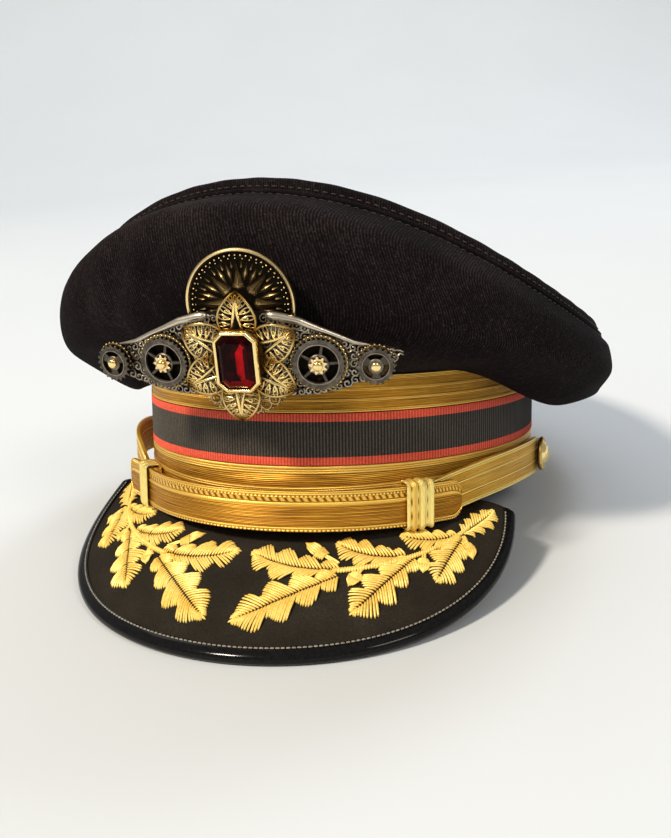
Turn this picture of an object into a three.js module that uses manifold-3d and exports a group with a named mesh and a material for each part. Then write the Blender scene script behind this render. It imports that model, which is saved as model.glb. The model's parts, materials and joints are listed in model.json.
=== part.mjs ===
// A dress peaked cap: a soft saddle-shaped crown on a stiff band trimmed with gold lace and a
// red-edged ribbon, a bound peak with two oak sprays, a gold chin strap with two keepers and two
// buttons, and a metal badge of wings, gears, pierced petals and a step-cut red stone.
//
// Lengths are millimetres. The cap is modelled upright: +Z up, its front towards -Y, and the
// origin at the middle of the band's bottom edge. The last lines tilt it back until it stands on
// the lip of its peak and the rear of its band.
import * as THREE from 'three';
import { mergeVertices } from 'three/addons/utils/BufferGeometryUtils.js';
import Module from 'manifold-3d';

const wasm = await Module();
wasm.setup();

// ---------------------------------------------------------------- driving dimensions

const GAP = 0.3; // air left between pieces that touch
const AROUND = 40; // facets round the band

const HEAD = { halfWidth: 85.4, halfLength: 99.9 }; // outside of the trimmed band
const BAND_HEIGHT = 52;
const BAND_WALL = 2.2;
const TRIM = 1.4; // thickness of the lace and of the ribbon
const LACE_FOOT = 0.6; // the lace stops this far above the band's bottom edge
const FRONT_DIP = 7; // the band's bottom edge dips this far at the front, where the peak is sewn on
const RIBBON_FROM = 17.9;
const RIBBON_TO = 38;

const CLOTH = 2; // crown wall
// Rings of the crown from where it sits on the band to the middle of its top. Each is an oval, wide
// and long to each side of (0, y, z), that rises to the front, saddles and narrows at one end.
// Lift raises it across the front alone, clear of the lace.
const CROWN_RINGS = [
  // wide, long, y, z, rise, saddle, third, egg, lift
  [82.6, 96.8, 0, 52.4, 0, 0, 0, 0],
  [88.2, 102.7, 0, 52.6, 0, 0, 0, 0],
  [109.6, 114.4, 10.8, 33, 1.5, 0, 0, -0.17, 19.3],
  [119.2, 128.2, 12.4, 52.1, 15.3, 7.7, 2.9, 0.2],
  [118.9, 131.5, 7.8, 69.6, 22.1, 13.3, 6.8, 0.17],
  [112.7, 115.4, 14.7, 75.9, 22, 14.5, 7.1, 0.27],
  [109.3, 111.9, 14.7, 82, 21.3, 14.1, 6.9, 0.27],
  [67.6, 69.2, 14.7, 88.1, 13.2, 7.3, 3.6, 0.27],
  [12, 13, 14.7, 91, 2, 0, 0, 0],
].map(([wide, long, y, z, rise, saddle, third, egg, lift = 0]) => (
  { wide, long, y, z, rise, saddle, third, egg, lift }));
const LIFT_FADE = { from: 44, to: 76 }; // degrees from the front
const SEAM_RING = 5; // the ring where the top is welted to the side
const SEAM_SLIT = 0.003; // half of the slit at the seam, as a share of the crown's profile

const PEAK = { wide: 86, egg: 0.32, rootY: -44.8, reach: 94.9, fullness: 29.2, sweep: 84, spread: 61 };
const PEAK_BOARD = 2;
const PEAK_CROWNING = 2; // how far the board swells between the band and its lip
const PEAK_STEPS = 28;
const REST_SLOPE = 44.5 / 241.5; // fall of the resting plane towards the front
const REST_REAR = 98.2; // the band touches the resting plane this far behind the middle
const LIP = { drop: 2.36, flat: 20.6, lift: 24, power: 2.37 }; // flat: degrees each side of the front

const STRAP = { wide: 15.4, thick: 1.7 };
const KEEPER_THETA = 40.5; // degrees each side of the front
const BADGE = { x: 8.4, y: -119.2, z: 62.6, turn: 8, lean: 14, bend: 230 };

const COLOURS = {
  blackCloth: [0x17151a, 0.95, 0],
  blackPatent: [0x0a0a0b, 0.25, 0],
  goldLace: [0xc9953c, 0.5, 0.35],
  ribbonBlack: [0x24211f, 0.8, 0],
  goldThread: [0xe0b75a, 0.5, 0.25],
  gilt: [0xd8a548, 0.35, 0.9],
  antiqueBrass: [0x8d6b36, 0.4, 1],
  oldSilver: [0x6f6c68, 0.4, 1],
  redStone: [0x9c0f16, 0.05, 0],
};

// ---------------------------------------------------------------- small tools

const radians = THREE.MathUtils.degToRad;
const lerp = THREE.MathUtils.lerp;
const vec = (x, y, z) => new THREE.Vector3(x, y, z);

const cap = new THREE.Group();

function add(name, geometry, colour, parent = cap) {
  const [color, roughness, metalness] = COLOURS[colour];
  const material = new THREE.MeshStandardMaterial({ color, roughness, metalness });
  const mesh = new THREE.Mesh(geometry, material);
  mesh.name = name;
  parent.add(mesh);
  return mesh;
}

// The volume that a closed mesh encloses, negative when its faces point inwards.
function signedVolume(geometry) {
  const position = geometry.getAttribute('position');
  const corners = [vec(), vec(), vec()];
  let total = 0;
  for (let i = 0; i < geometry.index.count; i += 3) {
    corners.forEach((corner, k) => corner.fromBufferAttribute(position, geometry.index.getX(i + k)));
    total += corners[0].dot(corners[1].cross(corners[2])) / 6;
  }
  return total;
}

// Triangles that fill a flat loop of points, as indices into it.
function fillLoop(loop) {
  const normal = vec();
  const middle = vec();
  loop.forEach((point, i) => {
    normal.add(vec().crossVectors(point, loop[(i + 1) % loop.length]));
    middle.add(point);
  });
  normal.normalize();
  middle.divideScalar(loop.length);
  const across = loop[0].clone().sub(middle).projectOnPlane(normal).normalize();
  const along = vec().crossVectors(normal, across);
  const flat = loop.map((point) => {
    const arm = point.clone().sub(middle);
    return new THREE.Vector2(arm.dot(across), arm.dot(along));
  });
  return THREE.ShapeUtils.triangulateShape(flat, []);
}

// A closed surface through a row of equal loops. Wrapped, the last loop joins the first;
// otherwise the first and the last are filled.
function skin(loops, wrapped = false) {
  const count = loops[0].length;
  const index = [];
  const steps = wrapped ? loops.length : loops.length - 1;
  for (let i = 0; i < steps; i += 1) {
    const here = i * count;
    const next = ((i + 1) % loops.length) * count;
    for (let j = 0; j < count; j += 1) {
      const k = (j + 1) % count;
      index.push(here + j, next + j, next + k, here + j, next + k, here + k);
    }
  }
  if (!wrapped) {
    const last = (loops.length - 1) * count;
    fillLoop(loops[0]).forEach(([a, b, c]) => index.push(a, b, c));
    fillLoop(loops.at(-1)).forEach(([a, b, c]) => index.push(last + a, last + c, last + b));
  }
  const geometry = new THREE.BufferGeometry();
  const points = loops.flat().flatMap((point) => point.toArray());
  geometry.setAttribute('position', new THREE.Float32BufferAttribute(points, 3));
  geometry.setIndex(index);
  if (signedVolume(geometry) < 0) {
    geometry.setIndex(index.reverse());
  }
  return geometry;
}

function toSolid(geometry) {
  const plain = geometry.clone();
  plain.deleteAttribute('normal');
  plain.deleteAttribute('uv');
  const merged = mergeVertices(plain, 1e-4);
  return new wasm.Manifold(new wasm.Mesh({
    numProp: 3,
    vertProperties: new Float32Array(merged.getAttribute('position').array),
    triVerts: new Uint32Array(merged.index.array),
  }));
}

function fromSolid(solid) {
  const mesh = solid.getMesh();
  const geometry = new THREE.BufferGeometry();
  geometry.setAttribute('position', new THREE.Float32BufferAttribute(mesh.vertProperties, 3));
  geometry.setIndex(Array.from(mesh.triVerts));
  return geometry;
}

const fuse = (geometries) => fromSolid(geometries.map(toSolid).reduce((sum, part) => sum.add(part)));

// A flat outline given thickness, standing on its own plane.
const plate = (shape, depth) => new THREE.ExtrudeGeometry(shape, { depth, bevelEnabled: false });

const polygon = (points) => new THREE.Shape(points.map(([x, y]) => new THREE.Vector2(x, y)));

function circlePath(x, y, radius, sides = 8) {
  const corners = Array.from({ length: sides }, (_, i) => {
    const angle = (i / sides) * 2 * Math.PI;
    return new THREE.Vector2(x + radius * Math.cos(angle), y + radius * Math.sin(angle));
  });
  return new THREE.Path(corners);
}

// A turned piece: a closed profile of [radius, height] spun round +Z.
function turned(profile, sides) {
  const outline = profile.map(([radius, height]) => new THREE.Vector2(radius, height));
  return new THREE.LatheGeometry(outline, sides).rotateX(Math.PI / 2);
}

// ---------------------------------------------------------------- band and trimmings

// A point on an upright oval, theta degrees round from the front towards the right.
function ovalPoint(theta, outset, z) {
  const angle = radians(theta);
  const point = vec(HEAD.halfWidth * Math.sin(angle), -HEAD.halfLength * Math.cos(angle), z);
  return point.addScaledVector(ovalNormal(theta), outset);
}

function ovalNormal(theta) {
  const angle = radians(theta);
  return vec(Math.sin(angle) / HEAD.halfWidth, -Math.cos(angle) / HEAD.halfLength, 0).normalize();
}

// The bottom edge of the band: level, with a dip across the front.
const footZ = (theta) => -FRONT_DIP * Math.max(0, Math.cos(radians(theta))) ** 2;

const level = (z) => () => z;

function ovalRing(innerOutset, outerOutset, bottom, toZ) {
  const loops = [];
  for (let i = 0; i < AROUND; i += 1) {
    const theta = (i / AROUND) * 360;
    loops.push([
      ovalPoint(theta, innerOutset, bottom(theta)),
      ovalPoint(theta, outerOutset, bottom(theta)),
      ovalPoint(theta, outerOutset, toZ),
      ovalPoint(theta, innerOutset, toZ),
    ]);
  }
  return skin(loops, true);
}

const coreOuter = -TRIM - GAP;
const laceFoot = (theta) => footZ(theta) + LACE_FOOT;
add('band', ovalRing(coreOuter - BAND_WALL, coreOuter, footZ, BAND_HEIGHT), 'blackCloth');
add('gold_lace_lower', ovalRing(-TRIM, 0, laceFoot, RIBBON_FROM), 'goldLace');
add('ribbon', ovalRing(-TRIM, 0, level(RIBBON_FROM + GAP), RIBBON_TO - GAP), 'ribbonBlack');
add('gold_lace_upper', ovalRing(-TRIM, 0, level(RIBBON_TO), BAND_HEIGHT - GAP), 'goldLace');

// ---------------------------------------------------------------- crown

function crownRingPoint(ring, theta) {
  const angle = radians(theta);
  const cos = Math.cos(angle);
  const fromFront = Math.abs(THREE.MathUtils.euclideanModulo(theta + 180, 360) - 180);
  const front = 1 - THREE.MathUtils.smoothstep(fromFront, LIFT_FADE.from, LIFT_FADE.to);
  return vec(
    ring.wide * Math.sin(angle) * (1 + ring.egg * cos),
    ring.y - ring.long * cos,
    ring.z + ring.rise * cos + ring.saddle * Math.cos(2 * angle) + ring.third * Math.cos(3 * angle)
      + ring.lift * front,
  );
}

// The crown's outer surface: along is 0 at the seat ring and 1 at the middle of the top.
function crownPoint(along, theta) {
  const knots = CROWN_RINGS.map((ring) => crownRingPoint(ring, theta));
  return new THREE.CatmullRomCurve3(knots, false, 'centripetal').getPoint(along);
}

function crownNormal(along, theta) {
  const step = 0.004;
  const start = Math.max(0, along - step);
  const end = Math.min(1, along + step);
  const meridian = crownPoint(end, theta).sub(crownPoint(start, theta));
  const round = crownPoint(along, theta + 1).sub(crownPoint(along, theta - 1));
  return round.cross(meridian).normalize();
}

const crownStation = (ringNumber) => ringNumber / (CROWN_RINGS.length - 1);

// Outer and inner faces of a stretch of the crown's wall at one angle. Both edges of the seam
// are cut square to it, so that they face each other.
function crownSection(stations, theta) {
  const seam = crownStation(SEAM_RING);
  const outer = stations.map((along) => crownPoint(along, theta));
  const inner = stations.map((along, i) => {
    const square = Math.abs(along - seam) < 2 * SEAM_SLIT ? seam : along;
    return outer[i].clone().addScaledVector(crownNormal(square, theta), -CLOTH);
  });
  return [outer, inner];
}

const sideStations = [0, 1, 2, 2.5, 3, 3.5, 4, 4.5].map(crownStation);
sideStations.push(crownStation(SEAM_RING) - SEAM_SLIT);
const topStations = [crownStation(SEAM_RING) + SEAM_SLIT, ...[5.5, 6, 6.5, 7, 8].map(crownStation)];

function crownLoops(stations, around) {
  const turns = Array.from({ length: around }, (_, i) => (i / around) * 360);
  const sections = turns.map((theta) => crownSection(stations, theta));
  const outerLoops = stations.map((_, k) => sections.map(([outer]) => outer[k]));
  const innerLoops = stations.map((_, k) => sections.map(([, inner]) => inner[k]));
  return [...outerLoops.reverse(), ...innerLoops];
}

const CROWN_AROUND = 34;
add('crown_side', skin(crownLoops(sideStations, CROWN_AROUND), true), 'blackCloth');
add('crown_top', skin(crownLoops(topStations, CROWN_AROUND)), 'blackCloth');

// ---------------------------------------------------------------- peak

// The middle of the peak's rolled lip. Share runs from -1 at the left end to 1 at the right.
function lipPoint(share) {
  const angle = radians(share * PEAK.sweep);
  const cos = Math.cos(angle);
  const x = PEAK.wide * Math.sin(angle) * (1 + PEAK.egg * cos);
  const y = PEAK.rootY - PEAK.reach * cos + PEAK.fullness * cos * (1 - cos);
  const flat = radians(LIP.flat);
  const past = Math.max(0, (Math.abs(angle) - flat) / (Math.PI / 2 - flat));
  const z = -REST_SLOPE * (REST_REAR - y) + LIP.drop + LIP.lift * past ** LIP.power;
  return vec(x, y, z);
}

// The peak's root, tucked under the band.
function rootPoint(share) {
  const theta = share * PEAK.spread;
  return ovalPoint(theta, -TRIM - BAND_WALL, footZ(theta) - PEAK_BOARD);
}

// Outward, upward and sideways directions of the peak at a share of its width.
function peakFrame(share) {
  const root = rootPoint(share);
  const lip = lipPoint(share);
  const side = lipPoint(share + 0.01).sub(lipPoint(share - 0.01));
  side.add(rootPoint(share + 0.01).sub(rootPoint(share - 0.01))).normalize();
  const out = lip.clone().sub(root).normalize();
  const up = vec().crossVectors(out, side).normalize();
  if (up.z < 0) {
    up.negate();
  }
  return { root, lip, out, up };
}

// A point on or over the peak: down runs from 0 at the band to 1 at the lip.
function peakPoint(share, down, height) {
  const { root, lip, up } = peakFrame(share);
  const swell = PEAK_CROWNING * 4 * down * (1 - down);
  return root.clone().lerp(lip, down).addScaledVector(up, swell + height);
}

const BOARD_STATIONS = [0, 0.3, 0.65, 1];

function peakBoard() {
  const loops = [];
  for (let i = 0; i <= PEAK_STEPS; i += 1) {
    const share = lerp(-1, 1, i / PEAK_STEPS);
    const { root, lip } = peakFrame(share);
    const stop = 1 - (2 * GAP) / root.distanceTo(lip);
    const upper = BOARD_STATIONS.map((down) => peakPoint(share, down * stop, PEAK_BOARD / 2));
    const lower = BOARD_STATIONS.map((down) => peakPoint(share, down * stop, -PEAK_BOARD / 2));
    loops.push([...upper, ...lower.reverse()]);
  }
  return skin(loops);
}

// The binding's section: a rolled edge with a groove that the board sits in. Columns: distance
// back from the middle of the roll, and height.
const BINDING_SECTION = [
  [4.2, 1.45], [4.2, 2.1], [0.6, 2.5], [-1.8, 1.7], [-2.6, 0], [-1.8, -1.7], [0.6, -2.5],
  [4.2, -2.1], [4.2, -1.45], [-0.7, -1.45], [-0.7, 1.45],
];

function peakBinding() {
  const loops = [];
  for (let i = 0; i <= PEAK_STEPS; i += 1) {
    const share = lerp(-1, 1, i / PEAK_STEPS);
    const { root, lip, up } = peakFrame(share);
    const length = root.distanceTo(lip);
    const back = peakPoint(share, 1 - 4 / length, 0).sub(lip).normalize();
    const rise = up.clone().projectOnPlane(back).normalize();
    loops.push(BINDING_SECTION.map(([inward, height]) => (
      lip.clone().addScaledVector(back, inward).addScaledVector(rise, height))));
  }
  return skin(loops);
}

add('peak', peakBoard(), 'blackCloth');
add('peak_binding', peakBinding(), 'blackPatent');

// ---------------------------------------------------------------- oak embroidery

const LEAF_LIFT = GAP + PEAK_BOARD / 2;
const LEAF_THICK = 1.2;

// Each leaf runs from its base to its tip; share is counted from the middle of the peak, down
// from the band to the lip, and half is half of its width.
const LEAVES = [
  { name: 'inner upper', base: [0.33, 0.385], tip: [0.03, 0.22], half: 7 },
  { name: 'inner lower', base: [0.32, 0.435], tip: [0.04, 0.77], half: 8.5 },
  { name: 'middle upper', base: [0.55, 0.4], tip: [0.34, 0.16], half: 6.5 },
  { name: 'middle lower', base: [0.57, 0.44], tip: [0.335, 0.745], half: 7.5 },
  { name: 'outer upper', base: [0.76, 0.44], tip: [0.58, 0.2], half: 5.5 },
  { name: 'outer lower', base: [0.77, 0.5], tip: [0.59, 0.71], half: 6.5 },
  { name: 'end', base: [0.78, 0.46], tip: [0.95, 0.63], half: 5.5 },
];
const ACORNS = [
  { base: [0.33, 0.34], tip: [0.225, 0.13], half: 3.2 },
  { base: [0.4, 0.39], tip: [0.345, 0.52], half: 3 },
  { base: [0.61, 0.42], tip: [0.57, 0.58], half: 3 },
  { base: [0.775, 0.48], tip: [0.74, 0.73], half: 3 },
];
const SPRIG = { base: [0.3, 0.39], tip: [0.82, 0.45], half: 1.6 };
const LEAF_WIDTHS = [0.35, 1, 0.7, 0.95, 0.6, 0.2]; // lobes from base to tip
const ACORN_WIDTHS = [0.25, 0.3, 1, 0.35];
const SPRIG_WIDTHS = [1, 1, 1, 1, 1];

// A slip of raised embroidery that follows the peak between two places on it.
function embroidered({ base, tip, half }, widths, hand) {
  const loops = widths.map((width, i) => {
    const along = i / (widths.length - 1);
    const share = lerp(base[0], tip[0], along) * hand;
    const down = lerp(base[1], tip[1], along);
    const step = 0.01;
    const bySide = peakPoint(share + step, down, 0).sub(peakPoint(share - step, down, 0));
    const byDown = peakPoint(share, down + step, 0).sub(peakPoint(share, down - step, 0));
    bySide.divideScalar(2 * step);
    byDown.divideScalar(2 * step);
    const run = bySide.clone().multiplyScalar((tip[0] - base[0]) * hand);
    run.addScaledVector(byDown, tip[1] - base[1]).normalize();
    const cross = vec().crossVectors(peakFrame(share).up, run).normalize();
    // Solve cross = a * bySide + b * byDown in the surface.
    const ss = bySide.dot(bySide);
    const sd = bySide.dot(byDown);
    const dd = byDown.dot(byDown);
    const cs = cross.dot(bySide);
    const cd = cross.dot(byDown);
    const a = (cs * dd - cd * sd) / (ss * dd - sd * sd);
    const b = (cd * ss - cs * sd) / (ss * dd - sd * sd);
    const reach = half * width;
    const at = (offset, height) => peakPoint(share + a * offset, down + b * offset, LEAF_LIFT + height);
    return [at(-reach, LEAF_THICK / 4), at(0, LEAF_THICK), at(reach, LEAF_THICK / 4), at(0, 0)];
  });
  return skin(loops);
}

function oakSpray(hand) {
  return fuse([
    embroidered(SPRIG, SPRIG_WIDTHS, hand),
    ...LEAVES.map((leaf) => embroidered(leaf, LEAF_WIDTHS, hand)),
    ...ACORNS.map((acorn) => embroidered(acorn, ACORN_WIDTHS, hand)),
  ]);
}

add('oak_leaves_left', oakSpray(-1), 'goldThread');
add('oak_leaves_right', oakSpray(1), 'goldThread');

// ---------------------------------------------------------------- chin strap

// Each strap's run round the band. Columns: degrees from the front, how far its back stands off
// the trimmed band, and the height of its middle. The left tab of the front strap flares out.
const STRAP_RUNS = {
  strap_front: [
    [-53, 8.6, 2.4], [-47, 5.4, 2.2], [-KEEPER_THETA, 4.4, 2.2], [-22, 5.4, 2.3],
    [0, 6.2, 2.4], [22, 5.4, 2.3], [KEEPER_THETA, 4.4, 2.2], [52, 4.5, 2.4],
  ],
  strap_right: [
    [33, 2.4, 2.2], [KEEPER_THETA, 2.4, 2.2], [44, 2.4, 2.3], [51, 2.4, 5],
    [60, 2.6, 7.4], [75, 2.6, 9], [97, 2.4, 8.4],
  ],
  strap_left: [
    [-33, 2.4, 2.2], [-KEEPER_THETA, 2.4, 2.2], [-44, 2.4, 2.3], [-50, 3.6, 6.4],
    [-58, 6, 12.6], [-72, 6, 15], [-86, 2.8, 11.6], [-97, 2.4, 10],
  ],
};

// A strap along its run, with a chamfer on each long edge and each end rounded.
function strap(run, steps) {
  const knots = run.map(([theta, outset, z]) => vec(theta, outset, z));
  const path = new THREE.CatmullRomCurve3(knots, false, 'centripetal');
  const length = Math.abs(run.at(-1)[0] - run[0][0]) * 1.6; // a degree of the band is about 1.6 mm
  const loops = [];
  for (let i = 0; i <= steps; i += 1) {
    const along = (1 - Math.cos((i / steps) * Math.PI)) / 2;
    const { x: theta, y: outset, z } = path.getPointAt(along);
    const nearest = Math.min(along, 1 - along) * length;
    const rounding = Math.sqrt(1 - (1 - Math.min(1, 0.12 + nearest / 7)) ** 2);
    const half = (STRAP.wide / 2) * rounding;
    loops.push([
      ovalPoint(theta, outset, z - half),
      ovalPoint(theta, outset + STRAP.thick * 0.6, z - half),
      ovalPoint(theta, outset + STRAP.thick, z - half * 0.85),
      ovalPoint(theta, outset + STRAP.thick, z + half * 0.85),
      ovalPoint(theta, outset + STRAP.thick * 0.6, z + half),
      ovalPoint(theta, outset, z + half),
    ]);
  }
  return skin(loops);
}

add('strap_front', strap(STRAP_RUNS.strap_front, 26), 'goldLace');
add('strap_right', strap(STRAP_RUNS.strap_right, 16), 'goldLace');
add('strap_left', strap(STRAP_RUNS.strap_left, 18), 'goldLace');

// Places a group at an angle round the band: its x along the band, y up and z outwards.
function seatOnBand(theta, outset, z) {
  const out = ovalNormal(theta);
  const up = vec(0, 0, 1);
  const along = vec().crossVectors(up, out);
  const seat = new THREE.Group();
  seat.applyMatrix4(new THREE.Matrix4().makeBasis(along, up, out).setPosition(ovalPoint(theta, outset, z)));
  cap.add(seat);
  return seat;
}

const KEEPER = { wide: 10, high: 18, wall: 0.9, deep: 6.2, out: 1.1, z: 2.3 };

// A flat loop round both layers of the strap, with three ridges across its face.
function keeperGeometry(height) {
  const half = height / 2;
  const outline = polygon([
    [0, -half], [KEEPER.deep, -half], [KEEPER.deep, half], [0, half],
  ]);
  outline.holes.push(new THREE.Path([
    new THREE.Vector2(KEEPER.wall, -half + KEEPER.wall),
    new THREE.Vector2(KEEPER.wall, half - KEEPER.wall),
    new THREE.Vector2(KEEPER.deep - KEEPER.wall, half - KEEPER.wall),
    new THREE.Vector2(KEEPER.deep - KEEPER.wall, -half + KEEPER.wall),
  ]));
  const loop = plate(outline, KEEPER.wide).translate(0, 0, -KEEPER.wide / 2);
  const ridges = [-1, 0, 1].map((place) => (
    new THREE.CylinderGeometry(0.8, 0.8, height, 6).translate(KEEPER.deep, 0, place * 3.2)));
  return fuse([loop, ...ridges]).rotateY(-Math.PI / 2);
}

for (const [side, hand] of [['left', -1], ['right', 1]]) {
  const seat = seatOnBand(KEEPER_THETA * hand, KEEPER.out, KEEPER.z);
  add(`keeper_${side}`, keeperGeometry(KEEPER.high), 'goldLace', seat);
}

const BUTTON_PROFILE = [
  [0, 0], [6.6, 0], [7.5, 0.7], [7.5, 1.4], [6.9, 2], [5.6, 2.4], [3.6, 3.6], [0, 4.3],
];
for (const [side, theta, z] of [['left', -92, 10.6], ['right', 92, 8.5]]) {
  add(`button_${side}`, turned(BUTTON_PROFILE, 12), 'gilt', seatOnBand(theta, 2.7 + STRAP.thick + GAP, z));
}

// ---------------------------------------------------------------- badge

// The badge's own frame: x to its right, y up its face and z out of it, from the stone's middle.
const badge = new THREE.Group();
badge.position.set(BADGE.x, BADGE.y, BADGE.z);
badge.rotation.order = 'ZXY';
badge.rotation.set(radians(90 + BADGE.lean), 0, radians(BADGE.turn));
cap.add(badge);

// A seat on the badge, turned a little to follow its bend.
function seatOnBadge(x, y, out) {
  const angle = x / BADGE.bend;
  const radius = BADGE.bend + out;
  const seat = new THREE.Group();
  seat.position.set(radius * Math.sin(angle), y, radius * Math.cos(angle) - BADGE.bend);
  seat.rotation.y = angle;
  badge.add(seat);
  return seat;
}

// How far each layer's back stands out of the badge.
const LAYERS = {
  disc: 0,
  plate: 3,
  skirt: 5.5,
  backGear: 5.5,
  frontGear: 7,
  petals: 7,
  pinion: 8.5,
  bezel: 9.2,
};

const COMPASS = { y: 17.6, radius: 19.7, rays: 16 };

function compassDisc() {
  const dish = turned([
    [0, 0], [COMPASS.radius, 0], [COMPASS.radius, 1.9], [COMPASS.radius - 1.3, 1.9],
    [COMPASS.radius - 1.6, 1.1], [0, 1.1],
  ], 28);
  const points = Array.from({ length: COMPASS.rays * 2 }, (_, i) => {
    const angle = (i / (COMPASS.rays * 2)) * 2 * Math.PI;
    const long = i % 4 === 0 ? 16.4 : 13.6;
    const radius = i % 2 === 0 ? long : 7.4;
    return [radius * Math.sin(angle), radius * Math.cos(angle)];
  });
  return fuse([dish, plate(polygon(points), 0.7).translate(0, 0, 0.9)]);
}

add('compass_disc', compassDisc(), 'antiqueBrass', seatOnBadge(0, COMPASS.y, LAYERS.disc));

// The wings: the left half of the outline from the middle outwards. The right wing is a little
// shorter.
const WING_STATIONS = [
  { x: 0, top: 15.5, bottom: -14 },
  { x: 8.5, top: 16.6, bottom: -14.5 },
  { x: 15, top: 15.4, bottom: -14.8 },
  { x: 22, top: 13.6, bottom: -14.8 },
  { x: 28.5, top: 10.6, bottom: -14.2 },
  { x: 35, top: 7.8, bottom: -13 },
  { x: 41, top: 5, bottom: -11 },
  { x: 47, top: 3.4, bottom: -9.4 },
  { x: 52, top: 2.6, bottom: -7.6 },
  { x: 55.6, top: 1.6, bottom: -3 },
];

const RIGHT_WING = 0.95;

// A plate bent to the badge's curve, with a raised bead along its top edge and a ribbed face.
function wingPlate() {
  const mirrored = WING_STATIONS.slice(1).reverse().map((row) => ({ ...row, x: -row.x }));
  const right = WING_STATIONS.map((row) => ({ ...row, x: row.x * RIGHT_WING }));
  const loops = [...mirrored, ...right].map(({ x, top, bottom }) => {
    const at = (y, out) => {
      const angle = x / BADGE.bend;
      const radius = BADGE.bend + LAYERS.plate + out;
      return vec(radius * Math.sin(angle), y, radius * Math.cos(angle) - BADGE.bend);
    };
    const bead = top - 2.6;
    return [
      at(bottom, 0), at(bottom, 1.2), at(bottom + 0.8, 1.8), at(bottom + 1.6, 1.2), at(bead, 1.2),
      at(bead + 0.5, 2.2), at(bead + 1.3, 2.5), at(bead + 2.1, 2.2), at(top, 1.2), at(top, 0),
    ];
  });
  return skin(loops);
}

add('wing_plate', wingPlate(), 'oldSilver', badge);

// A pierced fan of scallops below the flower: seven lobes on an arc.
const SKIRT = { y: -1.5, inner: 10, outer: 20.4, lobe: 1.8, from: -160, to: -20, lobes: 7 };

function scallopedSkirt() {
  const onArc = (share, radius) => {
    const angle = radians(lerp(SKIRT.from, SKIRT.to, share));
    return [radius * Math.cos(angle), radius * Math.sin(angle)];
  };
  const corners = [];
  for (let i = 0; i < SKIRT.lobes; i += 1) {
    corners.push(onArc(i / SKIRT.lobes, SKIRT.outer - SKIRT.lobe));
    corners.push(onArc((i + 0.25) / SKIRT.lobes, SKIRT.outer - 0.3));
    corners.push(onArc((i + 0.5) / SKIRT.lobes, SKIRT.outer));
    corners.push(onArc((i + 0.75) / SKIRT.lobes, SKIRT.outer - 0.3));
  }
  corners.push(onArc(1, SKIRT.outer - SKIRT.lobe));
  for (let i = SKIRT.lobes; i >= 0; i -= 1) {
    corners.push(onArc(i / SKIRT.lobes, SKIRT.inner));
  }
  const outline = polygon(corners);
  for (let i = 0; i < SKIRT.lobes; i += 1) {
    outline.holes.push(circlePath(...onArc((i + 0.5) / SKIRT.lobes, SKIRT.outer - 3.4), 1.5, 6));
  }
  return plate(outline, 1.2);
}

add('scalloped_skirt', scallopedSkirt(), 'antiqueBrass', seatOnBadge(0, SKIRT.y, LAYERS.skirt));

// A toothed wheel. Between its spokes it has wedge windows from the hub to the rim, or round holes.
function gear({ radius, teeth, depth, thick, spokes = 0, hub = 0, hole = 0, holeAt = 0 }) {
  const corners = [];
  const root = radius - depth;
  for (let i = 0; i < teeth; i += 1) {
    for (const [place, reach] of [[-0.3, root], [-0.16, radius], [0.16, radius], [0.3, root]]) {
      const angle = ((i + place) / teeth) * 2 * Math.PI;
      corners.push([reach * Math.cos(angle), reach * Math.sin(angle)]);
    }
  }
  const outline = polygon(corners);
  const rim = root - 1.5;
  const wedge = (Math.PI / spokes) * 0.7;
  for (let i = 0; i < spokes; i += 1) {
    const middle = ((i + 0.5) / spokes) * 2 * Math.PI;
    const corner = (distance, turn) => new THREE.Vector2(
      distance * Math.cos(middle + turn),
      distance * Math.sin(middle + turn),
    );
    if (hole > 0) {
      outline.holes.push(circlePath(holeAt * Math.cos(middle), holeAt * Math.sin(middle), hole, 6));
    } else {
      outline.holes.push(new THREE.Path([
        corner(hub, -wedge * 0.6), corner(rim, -wedge), corner(rim, 0),
        corner(rim, wedge), corner(hub, wedge * 0.6),
      ]));
    }
  }
  return plate(outline, thick);
}

const BIG_GEAR = { radius: 9.4, teeth: 13, depth: 1.3, thick: 1.2, spokes: 5, hub: 3.1 };
const BIG_BACK = { radius: 10.4, teeth: 13, depth: 0.9, thick: 1.2 };
const PINION = { radius: 3.4, teeth: 7, depth: 0.9, thick: 1 };
const SMALL_GEAR = { radius: 6.9, teeth: 12, depth: 1.2, thick: 1.2, spokes: 3, hole: 1, holeAt: 4 };
const SMALL_BACK = { radius: 6.8, teeth: 12, depth: 0.8, thick: 1.2 };
const RIVET_PROFILE = [[0, 0], [1.9, 0], [1.9, 0.5], [1.3, 1.2], [0, 1.5]];

for (const [side, bigX, smallX] of [['left', -28, -48.6], ['right', 26.6, 45.4]]) {
  const big = (out) => seatOnBadge(bigX, -2.3, out);
  const small = (out) => seatOnBadge(smallX, -3.8, out);
  const smallBack = seatOnBadge(smallX, -3, LAYERS.backGear);
  add(`gear_big_back_${side}`, gear(BIG_BACK), 'antiqueBrass', big(LAYERS.backGear));
  add(`gear_big_${side}`, gear(BIG_GEAR), 'oldSilver', big(LAYERS.frontGear));
  add(`pinion_${side}`, gear(PINION), 'antiqueBrass', big(LAYERS.pinion));
  add(`rivet_big_${side}`, turned(RIVET_PROFILE, 8), 'gilt', big(LAYERS.pinion + 1.3));
  add(`gear_small_back_${side}`, gear(SMALL_BACK), 'antiqueBrass', smallBack);
  add(`gear_small_${side}`, gear(SMALL_GEAR), 'oldSilver', small(LAYERS.frontGear));
  add(`rivet_small_${side}`, turned(RIVET_PROFILE, 8), 'gilt', small(LAYERS.frontGear + 1.5));
}

// A pierced, pointed petal of filigree, domed along its length, with its root at the origin.
const PETAL = { length: 15.5, half: 7, thick: 1.1, dome: 1.6 };
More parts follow.
